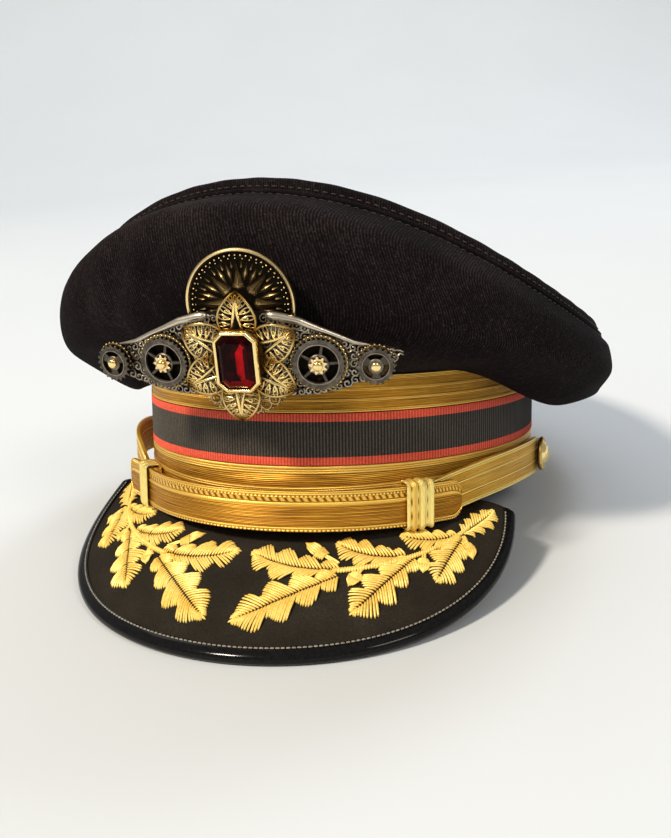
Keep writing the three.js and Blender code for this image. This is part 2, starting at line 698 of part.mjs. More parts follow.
// Degrees clockwise from the top, and how far each root is from the middle.
const PETAL_PLACES = [[2.6, 8.4], [64, 7.5], [120.5, 6.9], [183, 7.9], [243, 7.1], [299, 6.9]];

function petal() {
  const side = (share) => PETAL.half * Math.sin(Math.PI * Math.min(1, 0.22 + share * 0.78)) ** 0.8;
  const shares = [0, 0.22, 0.5, 0.78, 1];
  const right = shares.map((share) => [side(share), share * PETAL.length]);
  const left = shares.slice(0, -1).reverse().map((share) => [-side(share), share * PETAL.length]);
  const outline = polygon([...right, ...left]);
  for (const hand of [-1, 1]) {
    for (const [y0, y1, wide] of [[1.6, 6, 0.74], [7.2, 11.4, 0.68]]) {
      const at = (x, y) => new THREE.Vector2(hand * x, y);
      const reach = side((y0 + y1) / 2 / PETAL.length) * wide;
      outline.holes.push(new THREE.Path([
        at(0.7, y0), at(reach, y0 + 0.6), at(reach * 0.94, y1), at(0.7, y1 + 0.4),
      ]));
    }
  }
  const geometry = plate(outline, PETAL.thick);
  const position = geometry.getAttribute('position');
  for (let i = 0; i < position.count; i += 1) {
    const arch = (position.getY(i) / PETAL.length) * 2 - 1;
    const fold = Math.abs(position.getX(i)) / PETAL.half;
    position.setZ(i, position.getZ(i) + PETAL.dome * (1 - arch * arch) * (1 - 0.5 * fold));
  }
  return geometry;
}

// The six petals stand round the bezel and are soldered to one another at their roots.
function flower() {
  const collar = polygon(cutOctagon(9.6, 11.6, 3.2));
  collar.holes.push(new THREE.Path([
    new THREE.Vector2(-5, -8), new THREE.Vector2(-5, 8), new THREE.Vector2(5, 8), new THREE.Vector2(5, -8),
  ]));
  const petals = PETAL_PLACES.map(([turn, root]) => (
    petal().translate(0, root, 0).rotateZ(radians(-turn))));
  return fuse([plate(collar, 1), ...petals]);
}

add('petals', flower(), 'gilt', seatOnBadge(0, 0, LAYERS.petals));

// An octagon with cut corners, as [x, y] pairs.
function cutOctagon(halfWide, halfHigh, cut) {
  return [
    [-halfWide, -halfHigh + cut], [-halfWide + cut, -halfHigh],
    [halfWide - cut, -halfHigh], [halfWide, -halfHigh + cut],
    [halfWide, halfHigh - cut], [halfWide - cut, halfHigh],
    [-halfWide + cut, halfHigh], [-halfWide, halfHigh - cut],
  ];
}

const STONE = { halfWide: 6, halfHigh: 9.2, cut: 2.3 };

// The stone's outline grown outwards, at a height.
function aroundStone(outset, height, shareOfCut) {
  const { halfWide, halfHigh, cut } = STONE;
  const corners = cutOctagon(halfWide + outset, halfHigh + outset, cut + outset * shareOfCut);
  return corners.map(([x, y]) => vec(x, y, height));
}

// A frame of one octagonal section swept round the stone, open behind it.
function bezel() {
  const ring = [[1.9, 0], [1.9, 2.2], [1.2, 3.2], [0.4, 3.2], [0.4, 0]];
  return skin(ring.map(([outset, height]) => aroundStone(outset, height, 0.5)), true);
}

// A step cut: girdle, two rows of facets and a flat table.
function stepCutStone() {
  const levels = [[-1.6, 0], [0, 1.6], [0, 2.2], [-1.1, 3.4], [-2.2, 4]];
  return skin(levels.map(([outset, height]) => aroundStone(outset, height, 0.4)));
}

add('bezel', bezel(), 'gilt', seatOnBadge(0, 0, LAYERS.bezel));
add('stone', stepCutStone(), 'redStone', seatOnBadge(0, 0, LAYERS.bezel + 0.4));

// ---------------------------------------------------------------- at rest

// Tilted back on the lip of the peak and the rear of the band.
cap.rotation.x = -Math.atan(REST_SLOPE);
cap.updateMatrixWorld(true);
const bounds = new THREE.Box3().setFromObject(cap, true);
cap.position.set(0, -(bounds.min.y + bounds.max.y) / 2, -bounds.min.z);
cap.updateMatrixWorld(true);

export default cap;
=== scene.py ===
"""A dress peaked cap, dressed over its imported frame.

The cap's own frame is upright: +Z up, the front towards -Y, and the origin at the middle of the
band's bottom edge. Pieces are modelled there in millimetres. dress() then tilts them back with the
frame and turns them into metres.
"""
import json
import math
import random
from functools import lru_cache

import bpy
from mathutils import Matrix, Vector


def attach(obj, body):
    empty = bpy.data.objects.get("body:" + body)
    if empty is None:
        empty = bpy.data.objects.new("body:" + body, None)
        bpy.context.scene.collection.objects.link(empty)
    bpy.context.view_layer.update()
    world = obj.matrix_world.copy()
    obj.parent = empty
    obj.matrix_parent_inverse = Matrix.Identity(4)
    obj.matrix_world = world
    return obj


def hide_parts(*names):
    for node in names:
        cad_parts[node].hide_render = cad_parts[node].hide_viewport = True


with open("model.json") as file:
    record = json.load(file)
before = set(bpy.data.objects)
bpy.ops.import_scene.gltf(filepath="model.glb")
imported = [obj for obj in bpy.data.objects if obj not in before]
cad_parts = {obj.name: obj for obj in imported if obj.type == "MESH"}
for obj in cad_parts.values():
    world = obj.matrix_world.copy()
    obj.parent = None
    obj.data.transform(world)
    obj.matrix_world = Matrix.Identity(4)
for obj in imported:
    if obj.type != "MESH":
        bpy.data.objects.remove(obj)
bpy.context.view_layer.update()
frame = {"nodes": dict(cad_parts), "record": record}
random.seed(7)

# ------------------------------------------------------------ the cap's frame

OPENING = next(m for m in frame["record"]["mounts"] if m["name"] == "head_opening")
cap_up = -Vector(OPENING["axis"]).normalized()
cap_back = cap_up.cross(Vector((1, 0, 0)))
CAP = Matrix.Translation(Vector(OPENING["pos_m"])) @ Matrix((
    (1, 0, 0, 0),
    (0, cap_back.y, cap_up.y, 0),
    (0, cap_back.z, cap_up.z, 0),
    (0, 0, 0, 1),
))
CAP_MM = CAP @ Matrix.Scale(0.001, 4)

# ------------------------------------------------------------ driving dimensions, in millimetres

HEAD_WIDE, HEAD_LONG = 85.4, 99.9  # half width and half length outside the trimmed band
TRIM = 1.4  # how thick the laces and the ribbon are
FRONT_DIP = 7
LOWER_LACE_FROM, LOWER_LACE_TO = 0.6, 17.9
RIBBON_FROM, RIBBON_TO = 18.2, 37.7
UPPER_LACE_FROM, UPPER_LACE_TO = 38, 51.7
RED_EDGE = 3

CLOTH = 2
SIDE_LONG, SIDE_DEEP = 720, 96  # the crown's side laid out flat
# Rings of the crown from the band to the middle of its top.
CROWN_RINGS = [
    # wide, long, y, z, rise, saddle, third, egg, lift
    (82.6, 96.8, 0, 52.4, 0, 0, 0, 0, 0),
    (88.2, 102.7, 0, 52.6, 0, 0, 0, 0, 0),
    (109.6, 114.4, 10.8, 33, 1.5, 0, 0, -0.17, 19.3),
    (119.2, 128.2, 12.4, 52.1, 15.3, 7.7, 2.9, 0.2, 0),
    (118.9, 131.5, 7.8, 69.6, 22.1, 13.3, 6.8, 0.17, 0),
    (112.7, 115.4, 14.7, 75.9, 22, 14.5, 7.1, 0.27, 0),
    (109.3, 111.9, 14.7, 82, 21.3, 14.1, 6.9, 0.27, 0),
    (67.6, 69.2, 14.7, 88.1, 13.2, 7.3, 3.6, 0.27, 0),
    (12, 13, 14.7, 91, 2, 0, 0, 0, 0),
    (0.1, 0.1, 14.7, 91.1, 0, 0, 0, 0, 0),
]
SEAM_RING = 5
LIFT_FADE = 44, 76  # degrees from the front

# The peak's outline from above, its board, and the way its lip rests and lifts.
PEAK_WIDE, PEAK_EGG, PEAK_ROOT_Y = 86, 0.32, -44.8
PEAK_REACH, PEAK_FULLNESS, PEAK_SWEEP, PEAK_SPREAD = 94.9, 29.2, 84, 61
BOARD, CROWNING, TUCK = 2, 2, 2.2
REST_SLOPE, REST_REAR = 44.5 / 241.5, 98.2
LIP_DROP, LIP_FLAT, LIP_LIFT, LIP_POWER = 2.36, 20.6, 24, 2.37

BADGE_BEND = 230
BADGE_MIDDLE, BADGE_TURN, BADGE_LEAN = (8.4, -119.2, 62.6), 8, 14
BADGE = Matrix.Translation(BADGE_MIDDLE) @ Matrix.Rotation(math.radians(BADGE_TURN), 4, "Z") \
    @ Matrix.Rotation(math.radians(90 + BADGE_LEAN), 4, "X")


def oval_normal(theta):
    """Straight out of the band, theta degrees from the front."""
    angle = math.radians(theta)
    return Vector((math.sin(angle) / HEAD_WIDE, -math.cos(angle) / HEAD_LONG, 0)).normalized()


def oval_point(theta, outset, z):
    """A place round the band, theta degrees from the front to the right."""
    angle = math.radians(theta)
    point = Vector((HEAD_WIDE * math.sin(angle), -HEAD_LONG * math.cos(angle), z))
    return point + oval_normal(theta) * outset


def foot_z(theta):
    """The band's bottom edge dips across the front."""
    return -FRONT_DIP * max(0, math.cos(math.radians(theta))) ** 2


def through(knots, share):
    """A place on a smooth curve through the knots, by its share of the row of knots."""
    spans = len(knots) - 1
    here = min(int(share * spans), spans - 1)
    t = share * spans - here
    a, b, c, d = (Vector(knots[min(max(here + k, 0), spans)]) for k in (-1, 0, 1, 2))

    def slope(before, at, after):
        one = (at - before).length ** 0.5 or 1
        two = (after - at).length ** 0.5 or 1
        return (at - before) / one - (after - before) / (one + two) + (after - at) / two

    reach = (c - b).length ** 0.5
    out_b = slope(a, b, c) * reach if here > 0 else c - b
    in_c = slope(b, c, d) * reach if here < spans - 1 else c - b
    return (
        b * (2 * t ** 3 - 3 * t ** 2 + 1) + out_b * (t ** 3 - 2 * t ** 2 + t)
        + c * (3 * t ** 2 - 2 * t ** 3) + in_c * (t ** 3 - t ** 2)
    )


def ring_point(ring, theta):
    """A place on a ring of the crown, theta degrees from the front."""
    wide, long, y, z, rise, saddle, third, egg, lift = ring
    angle = math.radians(theta)
    turn = math.cos(angle)
    from_front = abs((theta + 180) % 360 - 180)
    fade = min(1, max(0, (from_front - LIFT_FADE[0]) / (LIFT_FADE[1] - LIFT_FADE[0])))
    return Vector((
        wide * math.sin(angle) * (1 + egg * turn),
        y - long * turn,
        z + rise * turn + saddle * math.cos(2 * angle) + third * math.cos(3 * angle)
        + lift * (1 - fade * fade * (3 - 2 * fade)),
    ))


@lru_cache(maxsize=None)
def crown_knots(theta):
    """The rings' places in one section of the crown."""
    return [ring_point(ring, theta) for ring in CROWN_RINGS]


def crown_point(ring, theta, out=0.0):
    """A place on the crown, by a whole or part ring number and the angle from the front."""
    spans = len(CROWN_RINGS) - 1
    here = crown_knots(theta)
    point = through(here, ring / spans)
    if out:
        before, after = max(0, (ring - 0.02) / spans), min(1, (ring + 0.02) / spans)
        ahead = through(here, after) - through(here, before)
        along = through(crown_knots(theta + 1), ring / spans) - point
        point += along.cross(ahead).normalized() * out
    return point


def lip_point(share):
    """A place on the peak's lip, by its share from -1 to 1 across it."""
    angle = math.radians(share * PEAK_SWEEP)
    turn = math.cos(angle)
    x = PEAK_WIDE * math.sin(angle) * (1 + PEAK_EGG * turn)
    y = PEAK_ROOT_Y - PEAK_REACH * turn + PEAK_FULLNESS * turn * (1 - turn)
    flat = math.radians(LIP_FLAT)
    past = max(0, (abs(angle) - flat) / (math.pi / 2 - flat))
    return Vector((x, y, -REST_SLOPE * (REST_REAR - y) + LIP_DROP + LIP_LIFT * past ** LIP_POWER))


def root_point(share):
    """A place where the peak leaves the band."""
    theta = share * PEAK_SPREAD
    return oval_point(theta, -TRIM - TUCK, foot_z(theta) - BOARD)


def peak_up(share):
    """Straight up out of the peak."""
    side = lip_point(share + 0.01) - lip_point(share - 0.01)
    side = (side + root_point(share + 0.01) - root_point(share - 0.01)).normalized()
    up = (lip_point(share) - root_point(share)).cross(side).normalized()
    return up if up.z > 0 else -up


def peak_point(share, down, height):
    """A place over the peak: share is -1 to 1 across it, down is 0 at the band and 1 at the lip."""
    swell = CROWNING * 4 * down * (1 - down)
    return root_point(share).lerp(lip_point(share), down) + peak_up(share) * (swell + height)


def place_of(x, y, z, spot):
    """A place whose own x, y and z point these ways."""
    return Matrix((*zip(x, y, z, spot), (0, 0, 0, 1)))


def bent(x, y, out):
    """A place on the badge, wrapped round the badge's bend. It is in the badge's own frame."""
    angle = x / BADGE_BEND
    radius = BADGE_BEND + out
    return Vector((radius * math.sin(angle), y, radius * math.cos(angle) - BADGE_BEND))


def badge_seat(x, y, out):
    """Where a piece of the badge sits, turned to follow the badge's bend."""
    return BADGE @ Matrix.Translation(bent(x, y, out)) @ Matrix.Rotation(x / BADGE_BEND, 4, "Y")


# ------------------------------------------------------------ workshop


def clear_bench():
    """Leaves edit mode and selects nothing."""
    if bpy.context.object and bpy.context.object.mode != "OBJECT":
        bpy.ops.object.mode_set(mode="OBJECT")
    bpy.ops.object.select_all(action="DESELECT")


def take(piece):
    """Selects one piece, and it alone."""
    clear_bench()
    piece.select_set(True)
    bpy.context.view_layer.objects.active = piece
    return piece


def named(name):
    """Names the piece that was just added."""
    piece = bpy.context.object
    piece.name = name
    piece.data.name = name
    return piece


def edit(piece, *steps):
    """Runs edit-mode steps with the whole piece selected."""
    take(piece)
    bpy.ops.object.mode_set(mode="EDIT")
    for step in steps:
        bpy.ops.mesh.select_all(action="SELECT")
        step()
    bpy.ops.object.mode_set(mode="OBJECT")
    return piece


def modify(piece, kind, **settings):
    """Adds a modifier and applies it."""
    take(piece)
    modifier = piece.modifiers.new(kind.title(), kind)
    for key, value in settings.items():
        setattr(modifier, key, value)
    bpy.ops.object.modifier_apply(modifier=modifier.name)
    return piece


def smooth(piece, angle=180):
    """Shades a piece smooth, apart from edges sharper than the angle."""
    take(piece)
    bpy.ops.object.shade_smooth_by_angle(angle=math.radians(angle))
    return piece


def join(name, pieces):
    """Joins pieces into one."""
    clear_bench()
    for piece in pieces:
        piece.select_set(True)
    bpy.context.view_layer.objects.active = pieces[0]
    if len(pieces) > 1:
        bpy.ops.object.join()
    return named(name)


def copy_of(piece, turn):
    """Another of the same piece, with its own mesh, turned or moved by a matrix."""
    other = piece.copy()
    other.data = piece.data.copy()
    bpy.context.scene.collection.objects.link(other)
    other.data.transform(turn)
    return other


ON_CAP = Matrix.Identity(4)


def dress(piece, finish, slot, *nodes, seat=ON_CAP):
    """Puts a finished piece in its place on the cap, in place of its nodes.

    A copy of a node is in its place already, so its seat is None."""
    if seat is not None:
        piece.data.transform(CAP_MM @ seat)
    piece.data.materials.clear()
    piece.data.materials.append(finish)
    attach(piece, "root")
    if nodes:
        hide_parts(*nodes)


def sheet_of(name, columns, rows, place, wrapped=False, tube=False):
    """A grid whose corners go to place(u, v). Wrapped closes it along u, and tube along v."""
    clear_bench()
    bpy.ops.mesh.primitive_grid_add(x_subdivisions=columns, y_subdivisions=rows, size=1)
    piece = named(name)
    for vertex in piece.data.vertices:
        vertex.co = place(vertex.co.x + 0.5, vertex.co.y + 0.5)
    if wrapped or tube:
        edit(piece, lambda: bpy.ops.mesh.remove_doubles(threshold=1e-4))
    if tube and not wrapped:
        edit(piece, lambda: bpy.ops.mesh.fill_holes(sides=0))
    edit(piece, lambda: bpy.ops.mesh.normals_make_consistent(inside=False))
    return piece


def lay_pattern(piece, rule):
    """Sets a grid's UVs, in millimetres, by a rule from its u and v and from the corner's place."""
    layer = piece.data.uv_layers[0]
    layer.name = "UVMap"
    for corner, loop in zip(layer.data, piece.data.loops):
        corner.uv = rule(*corner.uv, piece.data.vertices[loop.vertex_index].co)


def cad_copy(name, node):
    """A merged copy of a node's mesh, in quads where it can be."""
    piece = bpy.data.objects.new(name, frame["nodes"][node].data.copy())
    piece.data.name = name
    bpy.context.scene.collection.objects.link(piece)
    edit(
        piece,
        lambda: bpy.ops.mesh.remove_doubles(threshold=1e-6),
        lambda: bpy.ops.mesh.tris_convert_to_quads(face_threshold=1.2, shape_threshold=2.5),
    )
    return piece


def rounded(piece, levels, passes=3):
    """Subdivides a piece so that the round surface still passes through its own corners."""
    corners = [vertex.co.copy() for vertex in piece.data.vertices]
    trial = piece
    for _ in range(passes):
        trial = copy_of(piece, Matrix.Identity(4))
        modify(trial, "SUBSURF", levels=1, render_levels=1)
        for vertex, corner, moved in zip(piece.data.vertices, corners, trial.data.vertices):
            vertex.co += corner - moved.co
        bpy.data.objects.remove(trial)
    return modify(piece, "SUBSURF", levels=levels, render_levels=levels)


def wire(name, points, radius, sides=6, closed=False):
    """A round wire or cord along a row of points, made from a curve.

    An odd number of sides becomes the even one below it."""
    clear_bench()
    curve = bpy.data.curves.new(name, "CURVE")
    curve.dimensions = "3D"
    spline = curve.splines.new("POLY")
    spline.points.add(len(points) - 1)
    for knot, point in zip(spline.points, points):
        knot.co = (*point, 1)
    spline.use_cyclic_u = closed
    curve.bevel_depth = radius
    curve.bevel_resolution = max(0, sides // 2 - 2)
    curve.use_fill_caps = not closed
    cord = bpy.data.objects.new(name, curve)
    bpy.context.scene.collection.objects.link(cord)
    take(cord)
    bpy.ops.object.convert(target="MESH")
    return smooth(named(name), 60)


def turned(name, profile, sides):
    """A turned piece: a disc drawn up through its profile of (radius, height)."""
    clear_bench()
    radius, height = profile[0]
    bpy.ops.mesh.primitive_circle_add(vertices=sides, radius=max(radius, 0.01), fill_type="NGON")
    piece = named(name)
    bpy.ops.object.mode_set(mode="EDIT")
    bpy.ops.transform.translate(value=(0, 0, height))
    for wide, high in profile[1:]:
        bpy.ops.mesh.extrude_region_move(TRANSFORM_OT_translate={"value": (0, 0, high - height)})
        grow = max(wide, 0.01) / max(radius, 0.01)
        bpy.ops.transform.resize(value=(grow, grow, 1))
        radius, height = wide, high
    bpy.ops.object.mode_set(mode="OBJECT")
    edit(piece, lambda: bpy.ops.mesh.normals_make_consistent(inside=False))
    return smooth(piece, 35)


def bead(name, radius, place, squash=1, segments=7):
    """A small ball at a place."""
    clear_bench()
    bpy.ops.mesh.primitive_uv_sphere_add(segments=segments, ring_count=5, radius=radius)
    ball = named(name)
    ball.data.transform(Matrix.Translation(place) @ Matrix.Diagonal((1, 1, squash, 1)))
    return ball


def ring_of(name, count, radius, size, height, squash=1):
    """Beads in a ring."""
    beads = [bead(name, size, (radius, 0, height), squash, 8)]
    for i in range(1, count):
        beads.append(copy_of(beads[0], Matrix.Rotation(2 * math.pi * i / count, 4, "Z")))
    return smooth(join(name, beads))


def spindle(name, sides=6):
    """One stitch, a unit long and a unit in radius."""
    return turned(name, [(0.3, 0), (0.85, 0.07), (1, 0.3), (1, 0.62), (0.85, 0.9), (0.3, 1)], sides)


def sew(pattern, path, up, radius, flat=0.75):
    """Another stitch like the pattern, laid through a path of three or more places."""
    stitch = copy_of(pattern, Matrix.Identity(4))
    last = len(path) - 1
    for vertex in stitch.data.vertices:
        share = vertex.co.z * last
        here = min(int(share), last - 1)
        spot = path[here].lerp(path[here + 1], share - here)
        ahead = (path[here + 1] - path[here]).normalized()
        side = ahead.cross(up).normalized()
        vertex.co = spot + side * vertex.co.x * radius + up * vertex.co.y * radius * flat
    return stitch


def mark_wear_and_painted_light(piece, low, high, power=1):
    """Writes how proud each vertex stands, from 0 at low to 1 at high, before it is seated.

    The metals paint the low places dark, partly as patina and partly as painted shade.
    """
    layer = piece.data.attributes.new("worn", "FLOAT", "POINT")
    for vertex, mark in zip(piece.data.vertices, layer.data):
        mark.value = max(0, min(1, (vertex.co.z - low) / (high - low))) ** power
    return piece


def metal(name, parts, worn, finish, slot, node, seat):
    """Joins the parts of a metal piece, marks how proud each place stands (for its patina, wear and
    painted shade), and seats it.
    """
    dress(mark_wear_and_painted_light(join(name, parts), *worn), finish, slot, node, seat=seat)


# ------------------------------------------------------------ shader maths


class Signal:
    """A shader socket that can be used in ordinary arithmetic."""

    def __init__(self, finish, socket):
        self.finish = finish
        self.socket = socket

    def _math(self, operation, first, second):
        return self.finish.node("ShaderNodeMath", {"operation": operation}, [first, second])

    def __add__(self, other):
        return self._math("ADD", self, other)

    def __sub__(self, other):
        return self._math("SUBTRACT", self, other)

    def __rsub__(self, other):
        return self._math("SUBTRACT", other, self)

    def __mul__(self, other):
        return self._math("MULTIPLY", self, other)

    def __pow__(self, other):
        return self._math("POWER", self, other)

    def __gt__(self, other):
        return self._math("GREATER_THAN", self, other)

    def __lt__(self, other):
        return self._math("LESS_THAN", self, other)

    __radd__ = __add__
    __rmul__ = __mul__

    def wave(self, period):
        """A wave from 0 to 1 with this period."""
        scaled = self * (2 * math.pi / period)
        return self.finish.node("ShaderNodeMath", {"operation": "SINE"}, [scaled]) * 0.5 + 0.5

    def within(self, low, high):
        return (self > low) * (self < high)


class Finish:
    """A material: a Principled shader whose varying sockets are fed by nodes."""

    def __init__(self, name, **constants):
        self.material = bpy.data.materials.new(name)
        self.material.use_nodes = True
        self.tree = self.material.node_tree
        self.shader = self.tree.nodes["Principled BSDF"]
        for socket, value in constants.items():
            self.shader.inputs[socket.replace("_", " ")].default_value = value

    def node(self, kind, settings=None, values=(), output=0):
        """Adds a node: its settings first, then the values or links of its sockets."""
        made = self.tree.nodes.new(kind)
        for key, value in (settings or {}).items():
            if key == "stops":
                self._stops(made.color_ramp, value)
            else:
                setattr(made, key, value)
        pairs = values.items() if isinstance(values, dict) else enumerate(values)
        for key, value in pairs:
            self._feed(made.inputs[key], value)
        return Signal(self, made.outputs[output])

    def _stops(self, ramp, stops):
        while len(ramp.elements) < len(stops):
            ramp.elements.new(0.5)
        for element, (place, colour) in zip(ramp.elements, stops):
            element.position = place
            element.color = (*colour, 1)

    def _feed(self, socket, value):
        if isinstance(value, Signal):
            self.tree.links.new(value.socket, socket)
        else:
            socket.default_value = value

    def set(self, **inputs):
        for socket, value in inputs.items():
            self._feed(self.shader.inputs[socket.replace("_", " ")], value)
        return self

    def place(self):
        """Object coordinates, in metres."""
        return self.node("ShaderNodeTexCoord", output=3)

    def surface(self):
        """The piece's own UV map as u and v, in millimetres along and across it."""
        uv = self.node("ShaderNodeUVMap", {"uv_map": "UVMap"})
        split = self.node("ShaderNodeSeparateXYZ", values=[uv])
        return split, Signal(self, split.socket.node.outputs[1])

    def noise(self, scale, detail=3, roughness=0.5, vector=None):
        vector = vector or self.place()
        values = {"Vector": vector, "Scale": scale, "Detail": detail, "Roughness": roughness}
        return self.node("ShaderNodeTexNoise", values=values)

    def cells(self, scale):
        return self.node("ShaderNodeTexVoronoi", values={"Vector": self.place(), "Scale": scale})

    def ramp(self, value, *stops):
        return self.node("ShaderNodeValToRGB", {"stops": stops}, [value])

    def mix(self, factor, first, second):
        """A colour between two colours."""
        first, second = (c if isinstance(c, Signal) else (*c, 1) for c in (first, second))
        values = {0: factor, 6: first, 7: second}
        return self.node("ShaderNodeMix", {"data_type": "RGBA"}, values, output=2)

    def relief(self, height, depth, strength=1):
        """A bump of this depth in millimetres."""
        values = {"Height": height, "Distance": depth * 0.001, "Strength": strength}
        return self.node("ShaderNodeBump", values=values)


# ------------------------------------------------------------ finishes


def wool_finish():
    """Black wool: a fine broken twill with stray light fibres."""
    finish = Finish("black_wool", Roughness=0.95, Specular_IOR_Level=0.06)
    along, across = finish.surface()
    thread = finish.noise(1, 3, 0.6, finish.node(
        "ShaderNodeCombineXYZ", values=[along * 1.5 + across * 0.25, across * 0.42, 0.0]))
    ribs = (along + across * 0.16 + thread * 0.8).wave(0.95)
    fuzz = finish.noise(1300, 4, 0.75)
    patches = finish.noise(26, 4, 0.6)
    weave = ribs * 0.45 + thread * 0.8
    tone = finish.ramp(
        weave * 0.3 + fuzz * 0.58 + patches * 0.26,
        (0.4, (0.0014, 0.001, 0.0013)), (0.62, (0.0075, 0.0053, 0.006)),
        (0.84, (0.046, 0.034, 0.035)),
    )
    lint = finish.cells(330) < 0.09
    colour = finish.mix(lint * 0.35, tone, (0.1, 0.08, 0.075))
    relief = finish.relief(weave * 0.6 + fuzz * 0.8, 0.4, 0.85)
    return finish.set(Base_Color=colour, Normal=relief).material


def broadcloth_finish():
    """The peak's upper cloth: close black felted wool."""
    finish = Finish("black_broadcloth", Roughness=0.95, Specular_IOR_Level=0.06)
    fuzz = finish.noise(1900, 4, 0.75)
    patches = finish.noise(45, 4, 0.6)
    tone = finish.ramp(
        fuzz * 0.7 + patches * 0.4,
        (0.3, (0.008, 0.0065, 0.005)), (0.62, (0.028, 0.0235, 0.018)), (0.9, (0.085, 0.07, 0.05)),
    )
    return finish.set(Base_Color=tone, Normal=finish.relief(fuzz, 0.3, 0.7)).material


def patent_finish():
    """Patent leather: glossy black with the faintest ripple and dust."""
    finish = Finish("black_patent", Specular_IOR_Level=0.16)
    ripple = finish.noise(70, 3, 0.5)
    dust = finish.noise(900, 4, 0.7)
    return finish.set(
        Base_Color=finish.ramp(dust, (0.4, (0.004, 0.004, 0.0045)), (0.8, (0.012, 0.011, 0.011))),
        Roughness=dust * 0.1 + 0.06,
        Normal=finish.relief(ripple, 0.15, 0.4),
    ).material


def lace_finish(name, ridges, wide, dashes=None, dots=(), bright=0.0):
    """Gold wire lace: bright cords between stripes of fine lengthwise lines.

    Ridges narrower than CORD_WIDEST are cords. A braid of dashes lies between two heights, and each
    row of dots between two heights with a gap from dot to dot."""
    finish = Finish(name, Specular_IOR_Level=0.5)
    along, across = finish.surface()
    lines = across.wave(0.52)
    weft = (along + across.wave(1.04) * 0.25).wave(0.6)
    twist = (along + across * 0.5).wave(0.62)
    start = 0
    cords = across * 0
    for ridge in ridges:
        low, high = (edge * wide / sum(ridges) for edge in (start, start + ridge))
        if ridge < CORD_WIDEST:
            cords = cords + across.within(low + 0.05, high - 0.05)
        start += ridge
    streak = finish.noise(1, 3, 0.6, finish.node(
        "ShaderNodeCombineXYZ", values=[along * 0.05, across * 3.1, 0.0]))
    wear = finish.noise(60, 4, 0.6)
    plain = lines * 0.3 + weft * 0.03 + streak * 1.1 - 0.42
    corded = twist * 0.12 + streak * 0.3 + 0.45
    # bright lifts or lowers the lace's whole tone; the keeper's and the short straps' lift is
    # painted light.
    level = plain * (1 - cords) + cords * corded + wear * 0.16 + bright
    height = (lines * 0.9 + weft * 0.1) * (1 - cords) + twist * cords * 0.5
    if dashes:
        braid = across.within(*dashes)
        dash = (along + across * 0.4).wave(1.9)
        level = level * (1 - braid) + braid * (dash ** 0.6 * 0.66 + 0.02)
        height = height * (1 - braid) + braid * dash * 0.8
    for low, high, gap in dots:
        row = across.within(low, high)
        level = level * (1 - row) + row * (along.wave(gap) * 0.75 + 0.2)
    tone = finish.ramp(
        level,
        (0.03, (0.075, 0.024, 0.0015)), (0.28, (0.43, 0.18, 0.008)),
        (0.56, (0.86, 0.48, 0.045)), (0.9, (1.0, 0.82, 0.27)),
    )
    return finish.set(
        Base_Color=tone,
        Metallic=0.6,
        Roughness=0.42 - cords * 0.1,
        Normal=finish.relief(height, 0.18, 0.8),
    ).material


def ribbon_finish():
    """Ribbed silk ribbon, black with red edges, with painted shade in the grooves between its ribs.
    """
    finish = Finish("ribbed_ribbon", Specular_IOR_Level=0.35)
    along, across = finish.surface()
    grain = finish.noise(1300, 3, 0.7)
    black = finish.ramp(grain, (0.3, (0.034, 0.027, 0.019)), (0.8, (0.125, 0.1, 0.07)))
    red = finish.ramp(grain, (0.3, (0.8, 0.055, 0.022)), (0.8, (1.0, 0.19, 0.09)))
    wide = RIBBON_TO - RIBBON_FROM
    edges = (across < RED_EDGE) + (across > wide - RED_EDGE)
    ribs = along.wave(RIB)
    # Painted shade in the grooves between ribs: deep on the black, lighter on the red edges.
    groove = finish.mix(edges, (0.08, 0.07, 0.07), (0.5, 0.42, 0.42))
    shade = finish.mix(ribs, groove, (1, 1, 1))
    colour = finish.node(
        "ShaderNodeVectorMath", {"operation": "MULTIPLY"}, [finish.mix(edges, black, red), shade])
    return finish.set(
        Base_Color=colour,
        Roughness=0.75 - ribs * 0.2,
        Normal=finish.relief(ribs + grain * 0.25, 0.2, 0.7),
    ).material


def thread_finish():
    """Bright gold embroidery thread."""
    finish = Finish("gold_thread", Specular_IOR_Level=0.5)
    grain = finish.noise(1100, 3, 0.6)
    patches = finish.noise(70, 3, 0.6)
    tone = finish.ramp(
        grain * 0.5 + patches * 0.5,
        (0.3, (0.76, 0.43, 0.055)), (0.52, (1.0, 0.7, 0.16)), (0.78, (1.0, 0.9, 0.36)),
    )
    return finish.set(
        Base_Color=tone, Metallic=0.12, Roughness=0.5 - grain * 0.1,
        Normal=finish.relief(grain, 0.12, 0.6),
    ).material


def grained_finish(name, dark, light, roughness, depth, strength):
    """Thread or plain cloth: a close grain between two tones."""
    finish = Finish(name, Roughness=roughness)
    grain = finish.noise(900, 3, 0.6)
    tone = finish.ramp(grain, (0.3, dark), (0.8, light))
    return finish.set(Base_Color=tone, Normal=finish.relief(grain, depth, strength)).material


def metal_finish(name, dark, plain, bright, roughness, patina):
    """Aged cast metal: dark in the recesses and rubbed bright on the edges. The dark is partly
    patina and partly painted shade.

    The piece's marked attribute runs from 0 deep in a recess to 1 on a proud edge."""
    finish = Finish(name, Specular_IOR_Level=0.08)
    # The mark paints the recesses dark: partly patina, partly painted shade.
    worn = finish.node("ShaderNodeAttribute", {"attribute_name": "worn"}, output=2)
    grime = finish.noise(420, 5, 0.65)
    spots = finish.noise(1500, 3, 0.7)
    level = worn * 1.05 + grime * patina - patina * 0.5 + spots * 0.15 - 0.07
    return finish.set(
        Base_Color=finish.ramp(level, (0.05, dark), (0.45, plain), (0.95, bright)),
        Metallic=finish.ramp(level, (0.0, (0.55,) * 3), (0.4, (1, 1, 1))),
        Roughness=roughness + 0.28 - level * 0.28 + spots * 0.1,
        Normal=finish.relief(grime + spots * 0.5, 0.08, 0.5),
    ).material


